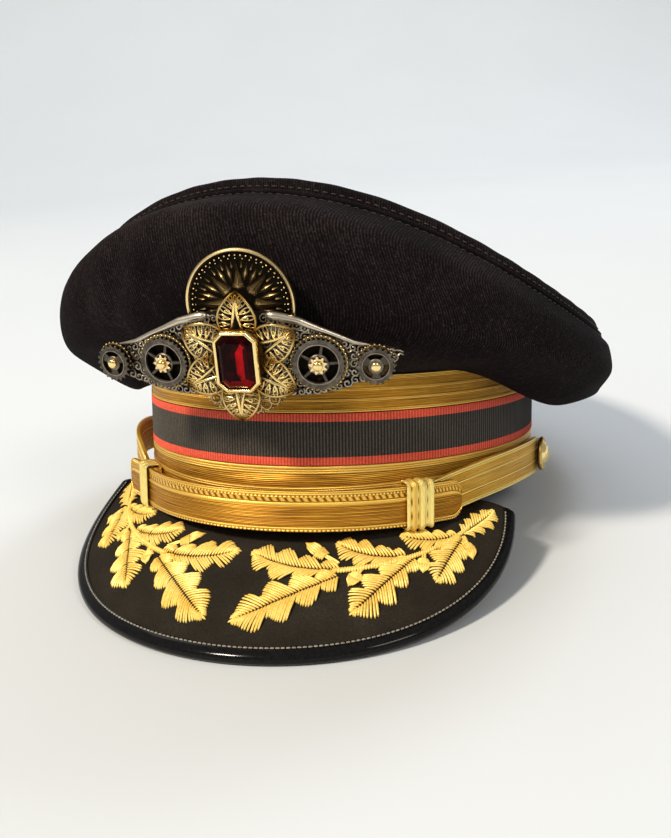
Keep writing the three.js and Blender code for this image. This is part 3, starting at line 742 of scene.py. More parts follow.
def ruby_finish():
    """Deep red cut glass with a painted glint on each facet, and a faint painted glow of the same
    red. The marked attribute says how bright each facet's painted glint is.
    """
    # The emission here is a painted glow: the stone is no lamp.
    finish = Finish("red_glass", Roughness=0.05, Specular_IOR_Level=0.07, Emission_Strength=0.06)
    painted_glint = finish.node("ShaderNodeAttribute", {"attribute_name": "worn"}, output=2)
    drift = finish.noise(240, 3, 0.6)
    tone = finish.ramp(
        painted_glint * 0.95 + drift * 0.3 - 0.12,
        (0.05, (0.006, 0.0, 0.0005)), (0.35, (0.1, 0.0006, 0.0015)), (0.62, (0.45, 0.004, 0.006)),
        (0.95, (0.95, 0.06, 0.05)),
    )
    return finish.set(Base_Color=tone, Emission_Color=tone).material


LACE_WIDE, STRAP_WIDE = 17.3, 15.4
CORD_WIDEST = 1.8  # narrower ridges of lace are single cords
# How wide each ridge of a lace is, against the others, from its lower edge up.
LACE_RIDGES = [0.8, 0.55, 3.1, 0.55, 0.55, 3.1, 0.55, 0.55, 3.1, 0.55, 0.55, 0.8]
STRAP_RIDGES = [0.9, 0.9, 2.6, 2.7, 2.6, 1.5, 2.6, 0.9, 0.7]
SHORT_RIDGES = [0.9, 0.7, 3.1, 0.7, 4.2, 0.7, 3.1, 0.7, 0.9]
KEEPER_RIDGES = [1.6, 2.2, 1.7, 1.7, 1.3, 1.5, 1.6]
KEEPER = dict(wide=11.6, high=18, deep=6.2, out=1.1, z=2.3, corner=1.6, wall=0.6)
RIB = 1.3  # from one rib of the ribbon to the next

WOOL = wool_finish()
BROADCLOTH = broadcloth_finish()
PATENT = patent_finish()
LACE = lace_finish("gold_lace", LACE_RIDGES, LACE_WIDE, bright=-0.06)
STRAP_LACE = lace_finish(
    "strap_lace", STRAP_RIDGES, STRAP_WIDE,
    dashes=(11.6, 13.0), dots=((0.1, 0.8, 1.1), (13.2, 13.8, 1.05)), bright=-0.1,
)
# The short straps' and the keeper's lift in tone is painted light, standing in for the light
# falling on them.
SHORT_LACE = lace_finish("short_strap_lace", SHORT_RIDGES, STRAP_WIDE, bright=0.1)
KEEPER_LACE = lace_finish(
    "keeper_lace", KEEPER_RIDGES, KEEPER["wide"],
    dots=((1.7, 2.1, 0.9), (4.7, 5.1, 0.9), (8.6, 9.0, 0.9)), bright=0.3,
)
RIBBON = ribbon_finish()
THREAD = thread_finish()
STITCH, SEAM_THREAD, LINING = (grained_finish(*plain) for plain in (
    # name, dark, light, roughness, relief in millimetres and its strength
    ("sewing_thread", (0.16, 0.15, 0.12), (0.42, 0.39, 0.33), 0.7, 0.1, 0.4),
    ("seam_thread", (0.012, 0.009, 0.008), (0.06, 0.048, 0.04), 0.75, 0.1, 0.4),
    ("inner_cloth", (0.008, 0.007, 0.008), (0.03, 0.027, 0.028), 0.95, 0.2, 0.5),
))
GILT, BRASS, SILVER, PEWTER = (metal_finish(*metal) for metal in (
    # name, in the recesses (patina and painted shade), plain, on the edges, roughness, patina
    ("gilt", (0.03, 0.012, 0.002), (0.36, 0.19, 0.035), (1.0, 0.78, 0.34), 0.16, 0.35),
    ("antique_brass", (0.005, 0.0035, 0.0015), (0.14, 0.09, 0.035), (0.95, 0.71, 0.35), 0.22, 0.5),
    ("old_silver", (0.016, 0.013, 0.01), (0.17, 0.14, 0.1), (0.62, 0.55, 0.44), 0.26, 0.5),
    ("dark_pewter", (0.005, 0.004, 0.003), (0.09, 0.076, 0.062), (0.62, 0.53, 0.42), 0.2, 0.4),
))
RUBY = ruby_finish()

# ------------------------------------------------------------ crown

CROWN_COLUMNS, SIDE_ROWS, TOP_ROWS = 360, 80, 44
SEAM_STITCHES = 280
STITCH_RINGS = SEAM_RING - 0.15, SEAM_RING + 0.34
WELT_RADIUS, WELT_SUNK, WELT_POINTS = 1.0, 0.35, 240
PINCH, PUCKER, PUCKERS = 0.9, 0.22, 52  # the seam's tightness, and the ripples along it
SAG, SAG_RING = 0.35, 3.2
FOLD_RING = 3.3
# Soft folds in the front of the crown.
FOLDS = [
    # degrees from the front, lean, depth, width
    (-21, 5, 1.5, 2.6), (-30, 3, 1.1, 3), (-13, 6, 0.8, 2.2), (19, -4, 0.9, 3), (33, -5, 0.8, 4),
]


def puckered(ring, theta):
    """The crown's surface with its folds, drawn in and puckered along the seam."""
    from_seam = abs(ring - SEAM_RING) * (22 if ring < SEAM_RING else 7)
    pinch = PINCH * math.exp(-from_seam / 1.6)
    angle = math.radians(theta)
    ripple = math.sin(angle * PUCKERS + 2 * math.sin(angle * 7))
    pucker = PUCKER * math.exp(-from_seam / 9) * ripple
    drape = SAG + SAG * math.sin(angle * 9 + 1.3 * math.sin(angle * 4))
    drape *= math.exp(-((ring - SAG_RING) / 0.8) ** 2)
    for where, lean, deep, wide in FOLDS:
        across = (theta + 180) % 360 - 180 - where - lean * (ring - FOLD_RING)
        drape += deep * math.exp(-(across / wide) ** 2 - ((ring - FOLD_RING) / 0.75) ** 2)
    return crown_point(ring, theta, pucker - pinch - drape)


def crown_cloth(name, node, first, last, rows):
    """The crown's cloth between two rings, with UVs in millimetres."""

    def place(u, v):
        return puckered(first + (last - first) * v, u * 360)

    piece = sheet_of(name, CROWN_COLUMNS, rows, place, wrapped=True)
    flat = node == "crown_top"
    lay_pattern(piece, lambda u, v, at: (at.x, at.y) if flat else (u * SIDE_LONG, v * SIDE_DEEP))
    modify(piece, "SOLIDIFY", thickness=CLOTH, offset=-1)
    dress(smooth(piece, 60), WOOL, "black_cloth", node)


def crown():
    """The side and the top, which meet at the seam."""
    crown_cloth("crown_side_cloth", "crown_side", 0, SEAM_RING - 0.01, SIDE_ROWS)
    crown_cloth("crown_top_cloth", "crown_top", SEAM_RING + 0.01, len(CROWN_RINGS) - 1, TOP_ROWS)


def seam_stitches():
    """A row of stitches each side of the welt."""
    pattern = spindle("seam_stitch", 5)
    stitches = []
    for ring in STITCH_RINGS:
        for i in range(SEAM_STITCHES):
            path = []
            for step, out in ((0.2, -0.1), (0.5, 0.2), (0.8, -0.1)):
                path.append(crown_point(ring, (i + step) * 360 / SEAM_STITCHES, out))
            over = crown_point(ring, (i + 0.5) * 360 / SEAM_STITCHES, 1)
            stitches.append(sew(pattern, path, (over - path[1]).normalized(), 0.22))
    bpy.data.objects.remove(pattern)
    dress(smooth(join("crown_seam_stitches", stitches)), SEAM_THREAD, "black_cloth")


def welt():
    """The cord sewn in where the top meets the side."""
    points = [crown_point(SEAM_RING, i * 360 / WELT_POINTS, -WELT_SUNK) for i in range(WELT_POINTS)]
    dress(wire("crown_welt", points, WELT_RADIUS, 12, closed=True), WOOL, "black_cloth")


# ------------------------------------------------------------ band, lace and ribbon

ROUND = 2 * math.pi * math.sqrt((HEAD_WIDE ** 2 + HEAD_LONG ** 2) / 2)  # the band's length
RIB_DEEP = 0.09
# The ribbon's section: share of its height, and outset. Its red edges stand a little proud.
RIBBON_SECTION = [
    (0, 0), (0.02, 0.05), (0.14, 0.05), (0.15, -0.02), (0.17, 0), (0.5, 0), (0.83, 0),
    (0.85, -0.02), (0.86, 0.05), (0.98, 0.05), (1, 0), (1, -TRIM), (0, -TRIM), (0, 0),
]


def trimming(name, columns, profile, bottom, top, long=ROUND, wide=None):
    """A strip round the band. Its profile is a closed row of (share of its height, outset)."""
    rows = len(profile) - 1

    def place(u, v):
        theta = u * 360
        share, outset = profile[round(v * rows)]
        low = bottom(theta)
        return oval_point(theta, outset, low + (top - low) * share)

    piece = sheet_of(name, columns, rows, place, wrapped=True, tube=True)
    high = wide or top - bottom(90)
    lay_pattern(piece, lambda u, v, at: (u * long, profile[round(v * rows)][0] * high))
    return piece


def ridged(ridges, depth, steps=5, back=TRIM):
    """A front made of ridges of these widths, as (share, outset), with a plain back."""
    total = sum(ridges)
    profile = []
    start = 0
    for ridge in ridges:
        proud = 0 if ridge < CORD_WIDEST else -0.12
        for step in range(steps):
            bulge = math.sqrt(math.sin(math.pi * step / steps))
            share = (start + ridge * step / steps) / total
            profile.append((share, depth * (bulge - 1) + proud * bulge))
        start += ridge
    profile += [(1, -depth), (1, -back), (0, -back), (0, -depth)]
    return profile


def band():
    """The stiff core, a gold lace round its foot and its head, and the ribbed ribbon between."""
    dress(cad_copy("band_core", "band"), LINING, "black_cloth", "band", seat=None)
    for node, bottom, top in (
        ("gold_lace_lower", lambda theta: foot_z(theta) + LOWER_LACE_FROM, LOWER_LACE_TO),
        ("gold_lace_upper", lambda theta: UPPER_LACE_FROM, UPPER_LACE_TO),
    ):
        ridges = ridged(LACE_RIDGES, 0.5)
        piece = trimming(node + "_cloth", 240, ridges, bottom, top, wide=LACE_WIDE)
        dress(smooth(piece, 70), LACE, "gold_lace", node)
    ribs = round(ROUND / RIB)
    ribbon = trimming(
        "ribbon_cloth", ribs * 4, RIBBON_SECTION, lambda theta: RIBBON_FROM, RIBBON_TO, ribs * RIB)
    for vertex in ribbon.data.vertices:
        angle = math.atan2(vertex.co.x / HEAD_WIDE, -vertex.co.y / HEAD_LONG)
        groove = RIB_DEEP - RIB_DEEP * math.cos(angle * ribs)
        vertex.co -= oval_normal(math.degrees(angle)) * groove
    dress(smooth(ribbon, 80), RIBBON, "ribbon_black", "ribbon")


# ------------------------------------------------------------ peak


def peak():
    """The board: cloth above and patent leather on all that faces down."""
    board = rounded(cad_copy("peak_cloth", "peak"), 2)
    dress(smooth(board, 60), BROADCLOTH, "black_cloth", "peak", seat=None)
    board.data.materials.append(PATENT)
    for polygon in board.data.polygons:
        if polygon.normal.dot(cap_up) < -0.2:
            polygon.material_index = 1


# ------------------------------------------------------------ studio


CAMERA_TURN, CAMERA_RISE, CAMERA_ROLL, CAMERA_AWAY = 20.96, 7.66, -0.74, 460.9
CAMERA_AIM_HIGH = 30
LENS_LONG, SENSOR_WIDE, LENS_SHIFT = 42.03, 36, (-0.0129, -0.0239)
# The studio, in metres.
SWEEP_SIZE, SWEEP_HIGH, SWEEP_CURVE = 7, 4, 1.8
AIR, AIR_BRIGHT = (0.93, 0.95, 0.96, 1), 0.33
LIGHTS = [
    # name, place, aimed at, size, watts, colour
    ("key_light", (-1.3, -2.3, 2.9), (0, -0.05, 0.06), (0.5, 0.5), 150, (1, 0.89, 0.73)),
    ("fill_light", (2.2, -1.5, 2.3), (0.1, 0, 0), (0.9, 0.9), 26, (1, 0.93, 0.82)),
    ("rim_light", (0.5, 1.9, 2.2), (0, 0, 0.1), (0.9, 0.9), 24, (0.95, 0.97, 1)),
    ("ceiling_light", (-1.3, 2.1, 3.4), (-1.5, 2.7, 0), (3.6, 2.4), 38, (0.92, 0.96, 1)),
]


def studio():
    """A pale paper sweep that faces the camera, soft air and four soft lights."""
    clear_bench()
    bpy.ops.mesh.primitive_plane_add(size=SWEEP_SIZE)
    sweep = named("studio_sweep")
    for vertex in sweep.data.vertices:
        vertex.select = vertex.co.y > 0
    for edge in sweep.data.edges:
        edge.select = all(sweep.data.vertices[v].select for v in edge.vertices)
    for polygon in sweep.data.polygons:
        polygon.select = False
    bpy.ops.object.mode_set(mode="EDIT")
    bpy.ops.mesh.extrude_region_move(TRANSFORM_OT_translate={"value": (0, 0, SWEEP_HIGH)})
    bpy.ops.object.mode_set(mode="OBJECT")
    modify(sweep, "BEVEL", width=SWEEP_CURVE, segments=24, limit_method="ANGLE")
    sweep.data.transform(Matrix.Rotation(math.radians(CAMERA_TURN), 4, "Z"))
    smooth(sweep)
    paper = Finish("studio_paper", Roughness=0.9)
    grain = paper.noise(3, 3, 0.5)
    paper.set(Base_Color=paper.ramp(grain, (0.3, (0.61, 0.645, 0.68)), (0.7, (0.63, 0.665, 0.7))))
    sweep.data.materials.append(paper.material)

    bpy.context.scene.view_settings.view_transform = "Standard"
    world = bpy.data.worlds.new("studio_air")
    bpy.context.scene.world = world
    world.use_nodes = True
    air = world.node_tree.nodes["Background"]
    air.inputs["Color"].default_value = AIR
    air.inputs["Strength"].default_value = AIR_BRIGHT
    for name, place, target, size, watts, colour in LIGHTS:
        light = bpy.data.lights.new(name, "AREA")
        light.shape = "RECTANGLE"
        light.size, light.size_y = size
        light.energy = watts
        light.color = colour
        lamp = bpy.data.objects.new(name, light)
        bpy.context.scene.collection.objects.link(lamp)
        lamp.location = place
        lamp.rotation_euler = (Vector(target) - Vector(place)).to_track_quat("-Z", "Y").to_euler()


def camera():
    """The view, given in the cap's own frame and aimed a little above the band's bottom edge."""
    turn, rise, roll = (math.radians(a) for a in (CAMERA_TURN, CAMERA_RISE, CAMERA_ROLL))
    near = math.cos(rise)
    back = Vector((math.sin(turn) * near, -math.cos(turn) * near, math.sin(rise)))
    level = Vector((math.cos(turn), math.sin(turn), 0))
    lift = back.cross(level)
    right = level * math.cos(roll) + lift * math.sin(roll)
    up = lift * math.cos(roll) - level * math.sin(roll)
    eye = (back * CAMERA_AWAY + Vector((0, 0, CAMERA_AIM_HIGH))) * 0.001
    view = place_of(right, up, back, eye)
    lens = bpy.data.cameras.new("camera")
    lens.lens = LENS_LONG
    lens.sensor_width = SENSOR_WIDE
    lens.shift_x, lens.shift_y = LENS_SHIFT
    lens.clip_start = 0.01
    seen_by = bpy.data.objects.new("camera", lens)
    bpy.context.scene.collection.objects.link(seen_by)
    seen_by.matrix_world = CAP @ view
    bpy.context.scene.camera = seen_by


# ------------------------------------------------------------ chin strap, keepers and buttons

STRAP_THICK = 1.7
STRAP_END = 7  # how far from its end a strap starts to narrow
STRAP_SPAN = 1.6  # how many millimetres of strap there are to a degree round the band
KEEPER_THETA = 40.5
KEEPER_CORDS = [(-5, 0.8), (-2.6, 1.3), (0.8, 1.3), (5, 0.8)]  # place across it, radius
BUTTONS = {"left": (-92, 10.6), "right": (92, 8.5)}  # degrees from the front, height
BUTTON_OUT = 4.7
BUTTON_PROFILE = [
    (6.4, 0), (6.9, 0.2), (7.3, 0.6), (7.5, 1.1), (7.3, 1.7), (6.9, 2.0), (6.4, 1.9), (6, 1.7),
    (5.6, 2.0), (5, 2.5), (4.2, 3.1), (3.2, 3.65), (2, 4.05), (1, 4.2), (0, 4.25),
]
# Each run: degrees round from the front, how far its back stands off the band, and its height.
STRAP_RUNS = {
    "strap_front": [
        (-53, 8.6, 2.4), (-47, 5.4, 2.2), (-KEEPER_THETA, 4.4, 2.2), (-22, 5.4, 2.3),
        (0, 6.2, 2.4), (22, 5.4, 2.3), (KEEPER_THETA, 4.4, 2.2), (52, 4.5, 2.4),
    ],
    "strap_right": [
        (33, 2.4, 2.2), (KEEPER_THETA, 2.4, 2.2), (44, 2.4, 2.3), (51, 2.4, 5),
        (60, 2.6, 7.4), (75, 2.6, 9), (97, 2.4, 8.4),
    ],
    "strap_left": [
        (-33, 2.4, 2.2), (-KEEPER_THETA, 2.4, 2.2), (-44, 2.4, 2.3), (-50, 3.6, 6.4),
        (-58, 6, 12.6), (-72, 6, 15), (-86, 2.8, 11.6), (-97, 2.4, 10),
    ],
}


def strap(node, finish, ridges, columns):
    """A laced strap along its run, ridged lengthwise, with its ends rounded."""
    run = STRAP_RUNS[node]
    long = abs(run[-1][0] - run[0][0]) * STRAP_SPAN
    profile = ridged(ridges, 0.4, back=STRAP_THICK)
    rows = len(profile) - 1

    def eased(u):
        """Columns stand closer towards the ends."""
        return (1 - math.cos(u * math.pi)) / 2

    def place(u, v):
        along = eased(u)
        theta, outset, z = through(run, along)
        share, lift = profile[round(v * rows)]
        nearest = min(along, 1 - along) * long
        rounding = math.sqrt(1 - (1 - min(1, 0.12 + nearest / STRAP_END)) ** 2)
        height = z + (share - 0.5) * STRAP_WIDE * rounding
        return oval_point(theta, outset + STRAP_THICK + lift, height)

    piece = sheet_of(node + "_lace", columns, rows, place, tube=True)
    lay_pattern(piece, lambda u, v, at: (eased(u) * long, profile[round(v * rows)][0] * STRAP_WIDE))
    dress(smooth(piece, 70), finish, "gold_lace", node)


def band_seat(theta, outset, z):
    """Where a piece sits on the band: its x along the band, y up and z outwards."""
    up, out = Vector((0, 0, 1)), oval_normal(theta)
    return place_of(up.cross(out), up, out, oval_point(theta, outset, z))


def keeper(side, theta):
    """A flat loop of lace round both layers of the strap, with raised cords round it."""
    wide, half, deep, corner = KEEPER["wide"], KEEPER["high"] / 2, KEEPER["deep"], KEEPER["corner"]
    path = []
    for middle_y, middle_z, start in (
        (half - corner, deep - corner, 90), (half - corner, corner, 0),
        (-half + corner, corner, -90), (-half + corner, deep - corner, -180),
    ):
        for step in range(5):
            path.append((middle_y, middle_z, math.radians(start - step * 22.5)))
    columns = len(path)

    def cord(x):
        return max(math.sqrt(max(0, 1 - ((x - at) / r) ** 2)) * r * 0.8 for at, r in KEEPER_CORDS)

    def place(u, v):
        middle_y, middle_z, angle = path[round(u * columns) % columns]
        x = (v - 0.5) * wide
        reach = corner - 0.2 + cord(x)
        return Vector((x, middle_y + reach * math.cos(angle), middle_z + reach * math.sin(angle)))

    piece = sheet_of(f"keeper_{side}_lace", columns, 40, place, wrapped=True)
    lay_pattern(piece, lambda u, v, at: (u * 2 * (KEEPER["high"] + deep), v * wide))
    modify(piece, "SOLIDIFY", thickness=KEEPER["wall"], offset=-1)
    seat = band_seat(theta, KEEPER["out"], KEEPER["z"])
    dress(smooth(piece, 60), KEEPER_LACE, "gold_lace", f"keeper_{side}", seat=seat)


def button(side, theta, z):
    """A domed button with a roped rim round a plain rayed middle."""
    parts = [
        turned("button_body", BUTTON_PROFILE, 60),
        ring_of("button_rope", 36, 6.45, 0.42, 2.0, 0.8),
        ring_of("button_rays", 16, 3.6, 0.5, 3.2, 0.7),
        ring_of("button_boss", 8, 1.5, 0.42, 4.1, 0.7),
    ]
    seat = band_seat(theta, BUTTON_OUT, z)
    metal(f"button_{side}_gilt", parts, (0.4, 2.6), GILT, "gilt", f"button_{side}", seat)


def strap_set():
    """The three runs of the strap, both keepers and both buttons."""
    strap("strap_front", STRAP_LACE, STRAP_RIDGES, 120)
    strap("strap_right", SHORT_LACE, SHORT_RIDGES, 90)
    strap("strap_left", SHORT_LACE, SHORT_RIDGES, 90)
    keeper("left", -KEEPER_THETA)
    keeper("right", KEEPER_THETA)
    for side, (theta, z) in BUTTONS.items():
        button(side, theta, z)


# ------------------------------------------------------------ peak edge

BINDING_STITCHES, STITCHED_SHARE = 168, 0.985
ROLL_WIDE, ROLL_HIGH, ROLL_OPENING = 2.5, 2.45, 78
# The upper flange of the patent edge: how far in from the lip, and how high.
FLANGE = [(-0.7, 1.3), (3.3, 1.3), (3.5, 1.55), (3.2, 1.85), (2.2, 2.15), (1.2, 2.46)]


def peak_edge(share):
    """The lip, and the directions back over the board and up from it."""
    root, lip, up = root_point(share), lip_point(share), peak_up(share)
    back = (peak_point(share, 1 - 4 / (root - lip).length, 0) - lip).normalized()
    return lip, back, (up - back * up.dot(back)).normalized()


def binding():
    """The patent edge: a full roll whose two flanges grip the board."""
    turns = [math.radians(ROLL_OPENING * (1 - i / 5)) for i in range(11)]
    roll = [(-ROLL_WIDE * math.cos(a), ROLL_HIGH * math.sin(a)) for a in turns]
    section = FLANGE + roll + [(inward, -height) for inward, height in reversed(FLANGE)]
    count = len(section)

    def place(u, v):
        share = 2 * u - 1
        lip, back, rise = peak_edge(share)
        inward, height = section[round(v * count) % count]
        return lip + back * inward + rise * height

    piece = sheet_of("peak_binding_roll", 150, count, place, tube=True)
    dress(smooth(piece, 50), PATENT, "black_patent", "peak_binding")


def edge_stitches():
    """The line of machine stitches that holds the patent edge."""
    pattern = spindle("edge_stitch", 5)
    stitches = []
    for i in range(BINDING_STITCHES):
        ends = []
        for step in (0.08, 0.5, 0.92):
            share = STITCHED_SHARE * (2 * (i + step) / BINDING_STITCHES - 1)
            lip, back, rise = peak_edge(share)
            ends.append(lip + back * 2.75 + rise * (2.25 if step == 0.5 else 1.9))
        stitches.append(sew(pattern, ends, rise, 0.3))
    bpy.data.objects.remove(pattern)
    dress(smooth(join("peak_edge_stitches", stitches)), STITCH, "gold_thread")


# ------------------------------------------------------------ oak embroidery

LEAVES = [
    # base, tip, half width, bow
    ((0.33, 0.385), (0.025, 0.215), 7.2, 1.5),
    ((0.32, 0.435), (0.035, 0.775), 8.6, -2),
    ((0.55, 0.4), (0.335, 0.15), 6.6, 1.5),
    ((0.57, 0.44), (0.33, 0.75), 7.6, -1.5),
    ((0.76, 0.44), (0.575, 0.19), 5.8, 1),
    ((0.77, 0.5), (0.585, 0.715), 6.6, -1),
    ((0.78, 0.46), (0.96, 0.64), 5.6, 1),
]
ACORNS = [
    ((0.33, 0.34), (0.222, 0.12), 2.9),
    ((0.4, 0.39), (0.34, 0.53), 2.7),
    ((0.61, 0.42), (0.565, 0.59), 2.7),
    ((0.775, 0.48), (0.735, 0.74), 2.7),
]
SPRIG = ((0.3, 0.39), (0.82, 0.45))
LOBES = 4
STITCH_GAP, STEM_GAP = 1.14, 0.95
ROW_SHARE = 0.93  # of a leaf's length, that its rows of stitches take up
CLOTH_TOP = BOARD / 2 + 0.05


class Strip:
    """A strip of the peak's surface from one (share, down) place to another."""

    def __init__(self, base, tip, hand):
        self.base, self.tip, self.hand = base, tip, hand
        ends = [peak_point(s * hand, d, 0) for s, d in (base, tip)]
        self.long = (ends[1] - ends[0]).length
        share, down = (base[0] + tip[0]) / 2 * hand, (base[1] + tip[1]) / 2

        step = 0.01

        def rate(one, other):
            """How fast the surface runs on here, one way or the other."""
            after = peak_point(share + one, down + other, 0)
            return (after - peak_point(share - one, down - other, 0)) / (2 * step)

        by_share, by_down = rate(step, 0), rate(0, step)
        run = (by_share * (tip[0] - base[0]) * hand + by_down * (tip[1] - base[1])).normalized()
        self.up = peak_up(share)
        cross = self.up.cross(run).normalized()
        ss, sd, dd = by_share.dot(by_share), by_share.dot(by_down), by_down.dot(by_down)
        cs, cd = cross.dot(by_share), cross.dot(by_down)
        area = ss * dd - sd * sd
        self.aside = (cs * dd - cd * sd) / area, (cd * ss - cs * sd) / area

    def at(self, along, aside, height):
        """A place on the strip: along from 0 to 1, aside and height in millimetres."""
        share = (self.base[0] + (self.tip[0] - self.base[0]) * along) * self.hand
        down = self.base[1] + (self.tip[1] - self.base[1]) * along
        by_share, by_down = self.aside
        return peak_point(share + by_share * aside, down + by_down * aside, CLOTH_TOP + height)

    def path(self, *places):
        """A row of places on the strip."""
        return [self.at(*place) for place in places]


def leaf_half(along):
    """The share of an oak leaf's half width: narrow at the base, broad past the middle, lobed."""
    body = min(1, 0.45 + 0.95 * along) * math.sqrt(max(0, 1 - max(0, (along - 0.6) / 0.4) ** 2.4))
    lobe = (along * LOBES + 0.15) % 1
    return body * (0.42 + 0.58 * math.sin(math.pi * lobe ** 1.35) ** 0.8)


def leaf(pattern, base, tip, half, bow, hand):
    """Satin stitches fanned forward from a leaf's midrib to its lobed edge."""
    strip = Strip(base, tip, hand)
    rows = int(strip.long * ROW_SHARE / STITCH_GAP)
    stitches = []

    def curve(along):
        return bow * math.sin(math.pi * min(1, max(0, along))) * hand

    def edge_from(root, slant):
        """How far along the leaf a stitch from the midrib meets its edge."""
        low, high = root, 1
        for _ in range(12):
            middle = (low + high) / 2
            if (middle - root) * strip.long * math.tan(slant) > half * leaf_half(middle):
                high = middle
            else:
                low = middle
        return low

    for side in (-1, 1):
        for row in range(rows):
            root = 0.02 + ROW_SHARE * row / (rows - 1)
            slant = math.radians(48 - 34 * max(0, (root - 0.7) / 0.25) ** 1.4)
            edge = edge_from(root, slant)
            reach = (half * leaf_half(edge) + 0.5) * random.uniform(0.96, 1.04)
            path = []
            for share, height in ((0, 0.15), (0.2, 0.9), (0.55, 1.15), (0.85, 0.75), (1, 0.1)):
                there = root + (edge - root) * share
                path.append(strip.at(there, curve(there) + side * (0.16 + reach * share), height))
            stitches.append(sew(pattern, path, strip.up, 0.47, 0.9))
    tip_path = strip.path((0.9, 0, 0.3), (0.96, 0, 0.9), (1.02, 0, 0.1))
    stitches.append(sew(pattern, tip_path, strip.up, 0.5))
    return stitches


def acorn(pattern, base, tip, half, hand):
    """A stalk, a cup stitched across, and a nut stitched lengthwise to a point."""
    strip = Strip(base, tip, hand)
    stitches = []
    for row in range(5):
        along = 0.42 + 0.045 * row
        wide = half * (0.75 + 0.08 * row)
        ends = along - 0.03
        path = strip.path((ends, -wide, 0.2), (along, 0, 1.2), (ends, wide, 0.2))
        stitches.append(sew(pattern, path, strip.up, 0.5))
    for column in range(-2, 3):
        aside = column * half * 0.36
        nib = 1.02 - abs(column) * 0.05
        path = strip.path((0.6, aside, 0.5), (0.78, aside * 0.95, 1.2), (nib, aside * 0.3, 0.15))
        stitches.append(sew(pattern, path, strip.up, 0.55))
    for strand in (-0.35, 0.35):
        path = strip.path((0.02, strand, 0.4), (0.22, strand * 1.4, 0.6), (0.44, strand, 0.5))
        stitches.append(sew(pattern, path, strip.up, 0.45))
    return stitches


def sprig(pattern, hand):
    """The stem, in short slanting stitches like a cord."""
    strip = Strip(*SPRIG, hand)
    rows = int(strip.long / STEM_GAP)
    stitches = []
    for row in range(rows):
        along = row / rows
        path = strip.path((along, -1.0, 0.3), (along + 0.012, 0, 1.25), (along + 0.024, 1.0, 0.3))
        stitches.append(sew(pattern, path, strip.up, 0.55))
    return stitches


def oak_spray(side, hand):
    """The stem, its leaves and its acorns, on one side of the peak."""
    pattern = spindle("satin_stitch")
    stitches = sprig(pattern, hand)
    for base, tip, half, bow in LEAVES:
        stitches += leaf(pattern, base, tip, half, bow, hand)
    for base, tip, half in ACORNS:
        stitches += acorn(pattern, base, tip, half, hand)
    bpy.data.objects.remove(pattern)
    dress(smooth(join(f"oak_spray_{side}", stitches)), THREAD, "gold_thread", f"oak_leaves_{side}")


# ------------------------------------------------------------ badge

# How far each layer's back stands out of the badge.
LAYERS = dict(
    disc=0, plate=3, skirt=5.5, back_gear=5.5, front_gear=7, petals=7, pinion=8.5, bezel=9.2)
COMPASS_Y, SKIRT_Y = 17.6, -1.5
COMPASS_PROFILE = [
    (19.3, 0), (19.7, 0.3), (19.75, 1.2), (19.5, 1.8), (19.1, 2.0), (18.7, 1.8), (18.5, 1.2),
    (18.1, 0.9), (12, 0.9), (4, 0.95), (0.5, 0.95),
]
COMPASS_FACE = 0.9  # how high the rays lie
COMPASS_RAYS = [
    # name, length, half width, height, from the middle, waist, degrees aside
    ("compass_ray", 10.6, 2.5, 0.55, 4.7, 0.12, (0,)),
    ("compass_ray", 8.6, 0.7, 1.1, 5.6, 0.2, (0,)),
    ("compass_diamond", 7.6, 0.85, 0.75, 7.4, 0.5, (-15, 15)),
    ("compass_point", 3.4, 0.6, 0.6, 12.4, 0.2, (-7.5, 7.5, 22.5)),
]
COMPASS_EDGES = [
    # length, half width, from the middle, waist, radius of the wire, degrees aside
    (8.6, 1.9, 6.7, 0.05, 0.17, (0,)),
    (7.6, 0.95, 7.4, 0.5, 0.13, (-15, 15)),
]
SKIRT_ARC = range(-168, -11, 6)  # degrees
SCALLOPS = [(17.4, 13, 1.9), (13.6, 11, 1.6)]  # radius of the row, how many, size


def circle(radius, angles, z, x=0, y=0):
    """Places on a circle, by their angles in degrees anticlockwise from the right."""
    turns = [math.radians(angle) for angle in angles]
    return [(x + radius * math.cos(turn), y + radius * math.sin(turn), z) for turn in turns]


def curl(x, y, size, turn, hand, height, turns=1.35, count=13):
    """A scroll of wire that winds in to its middle."""
    points = []
    for i in range(count):
        share = i / (count - 1)
        angle = turn + hand * share * turns * 2 * math.pi
        reach = size * (1 - 0.82 * share)
        spot = x + reach * math.cos(angle), y + reach * math.sin(angle), height + 0.25 * share
        points.append(spot)
    return points


def kite(name, long, wide, high, at, waist, turn):
    """A slender diamond, raised along its middle. Its waist is its widest place, as a share."""
    clear_bench()
    bpy.ops.mesh.primitive_circle_add(vertices=4, radius=1, fill_type="TRIFAN")
    piece = named(name)
    corners = {
        (0, 1): (0, long), (0, -1): (0, 0),
        (1, 0): (wide, long * waist), (-1, 0): (-wide, long * waist),
    }
    for vertex in piece.data.vertices:
        key = (round(vertex.co.x), round(vertex.co.y))
        if key in corners:
            vertex.co = Vector((*corners[key], 0))
        else:
            vertex.co = Vector((0, long * waist, high))
    edit(piece, lambda: bpy.ops.mesh.normals_make_consistent(inside=False))
    piece.data.transform(Matrix.Rotation(-turn, 4, "Z") @ Matrix.Translation((0, at, 0)))
    return piece


def ray_edges(long, wide, at, waist, radius, turn):
    """The raised outline of a ray."""
    spin = Matrix.Rotation(-turn, 4, "Z")
    corners = [(0, at), (wide, at + long * waist), (0, at + long), (-wide, at + long * waist)]
    return wire("compass_edge", [spin @ Vector((x, y, 0.22)) for x, y in corners], radius, 5, True)


